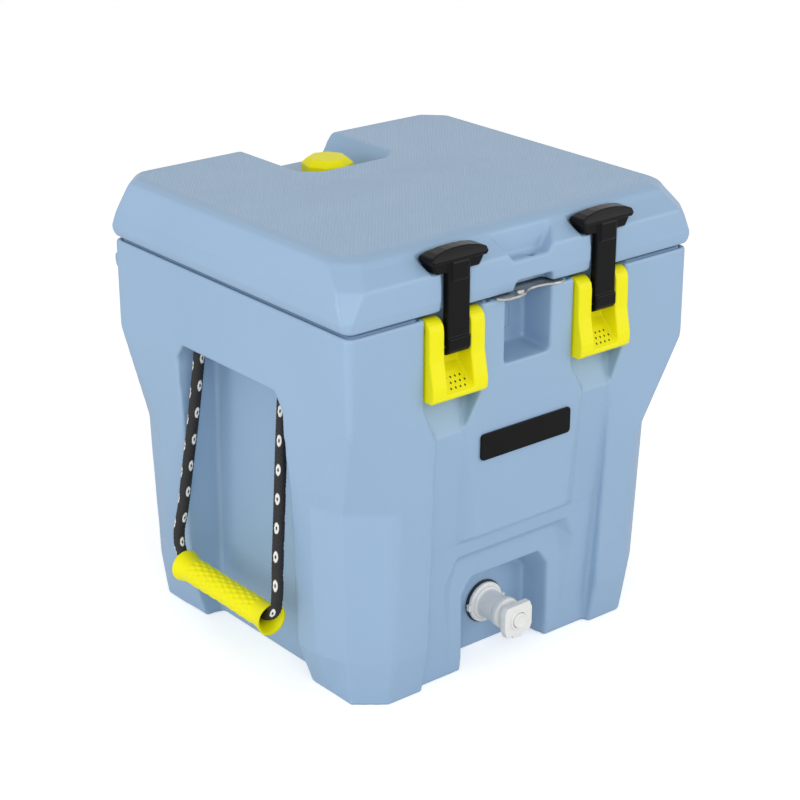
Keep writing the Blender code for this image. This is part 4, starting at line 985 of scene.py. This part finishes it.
@dataclass
class Hardware:
    """The steel, rubber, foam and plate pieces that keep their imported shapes."""

    finishes: dict[str, Finish] = field(default_factory=lambda: {
        "body_foam": FOAM, "lid_foam": FOAM, "lid_gasket": SEAL, "fill_cap_gasket": SEAL,
        "spigot_gasket_outer": SEAL, "spigot_gasket_inner": SEAL, "spigot_seal": SEAL,
        "spigot_nut": SPIGOT_WHITE, "fill_neck": LINER_WHITE,
        "opener_screw_left": STEEL, "opener_screw_right": STEEL, "hinge_pin_left": STEEL,
        "hinge_pin_right": STEEL, "lever_pin_left": STEEL, "lever_pin_right": STEEL,
        "strap_pin_left": STEEL, "strap_pin_right": STEEL,
        "rope_knot_left_front": ROPE, "rope_knot_left_back": ROPE, "rope_knot_right_front": ROPE,
        "rope_knot_right_back": ROPE})

    def build(self) -> None:
        """Dress each piece, with its edges broken where they show."""
        for name, finish in self.finishes.items():
            dressed(FRAME["nodes"][name], finish)
        edged("bottle_opener_plate", STEEL, 0.0004)
        edged("badge_plate", BADGE, 0.0005)


# Stage


@dataclass
class Studio:
    """A pale floor, soft light and the camera."""

    eye: tuple[float, float, float] = (-1.2392, -1.5187, 1.0251)
    yaw: float = 39.23
    elevation: float = 22.2
    lens: float = 91.93
    floor_tone: float = 0.86
    floor_reach: float = 12.0
    floor_lift: float = 0.44
    sky: float = 0.58

    def lamp(self, name: str, place: Sequence[float], size: float, watts: float) -> None:
        """Hang a square lamp that faces the middle of the dispenser."""
        data = bpy.data.lights.new(name, "AREA")
        data.size, data.energy = size, watts
        made = bpy.data.objects.new(name, data)
        made.location = place
        made.rotation_euler = (Vector((0, 0, 0.2)) - Vector(place)).to_track_quat("-Z", "Y").to_euler()
        bpy.context.scene.collection.objects.link(made)

    def camera(self) -> None:
        """Set up the camera."""
        data = bpy.data.cameras.new("camera")
        data.lens, data.sensor_width = self.lens, 36.0
        made = bpy.data.objects.new("camera", data)
        made.location = self.eye
        yaw, drop = math.radians(self.yaw), math.radians(self.elevation)
        way = Vector((math.sin(yaw) * math.cos(drop), math.cos(yaw) * math.cos(drop), -math.sin(drop)))
        made.rotation_euler = way.to_track_quat("-Z", "Y").to_euler()
        bpy.context.scene.collection.objects.link(made)
        bpy.context.scene.camera = made

    def floor(self) -> None:
        """Lay the floor."""
        mesh = bpy.data.meshes.new("floor")
        span = (-self.floor_reach, self.floor_reach)
        mesh.from_pydata([(x, y, 0.0) for x, y in block(span, span)], [], [(0, 1, 2, 3)])
        graph = Graph("floor_paper")
        tone = (self.floor_tone,) * 3
        seen = graph.node("ShaderNodeLightPath", {}, {}, "Is Camera Ray")
        lift = graph.mix(seen, (0.0, 0.0, 0.0), (1.0, 1.0, 1.0))
        paper = {"Base Color": (*tone, 1.0), "Roughness": 0.9, "Emission Color": lift}
        mesh.materials.append(graph.finish({**paper, "Emission Strength": self.floor_lift}))
        linked("floor", mesh)

    def world(self) -> None:
        """Give an even pale sky that shows as white behind the dispenser."""
        world = bpy.data.worlds.new("studio")
        bpy.context.scene.world = world
        world.use_nodes = True
        tree = world.node_tree
        tree.nodes.clear()
        ways = tree.nodes.new("ShaderNodeLightPath")
        seen = tree.nodes.new("ShaderNodeMath")
        seen.operation = "MAXIMUM"
        tree.links.new(ways.outputs["Is Camera Ray"], seen.inputs[0])
        tree.links.new(ways.outputs["Is Glossy Ray"], seen.inputs[1])
        strength = tree.nodes.new("ShaderNodeMapRange")
        strength.inputs["To Min"].default_value = self.sky
        tree.links.new(seen.outputs[0], strength.inputs["Value"])
        back = tree.nodes.new("ShaderNodeBackground")
        tree.links.new(strength.outputs[0], back.inputs["Strength"])
        out = tree.nodes.new("ShaderNodeOutputWorld")
        tree.links.new(back.outputs[0], out.inputs["Surface"])
        back.inputs["Color"].default_value = (1.0, 1.0, 1.0, 1.0)

    def build(self) -> None:
        """Build the stage."""
        self.camera()
        self.floor()
        self.world()
        self.lamp("key", (-1.5, -2.6, 1.7), 1.8, 29.0)
        self.lamp("fill", (1.8, -2.4, 1.0), 1.6, 20.0)
        self.lamp("side", (-2.8, 0.1, 0.8), 1.8, 27.0)
        scene = bpy.context.scene
        scene.view_settings.view_transform = "Standard"


def main() -> None:
    """Build the dispenser's looks."""
    logging.basicConfig(level=logging.INFO, format="%(name)s: %(message)s")
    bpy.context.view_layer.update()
    Studio().build()
    Hardware().build()
    Mouldings().build()
    Niche().build()
    for side in Side:
        Latch(side).build()
        Handle(side).build()
    Spigot().build()
    Filler().build()


if __name__ == "__main__":
    main()
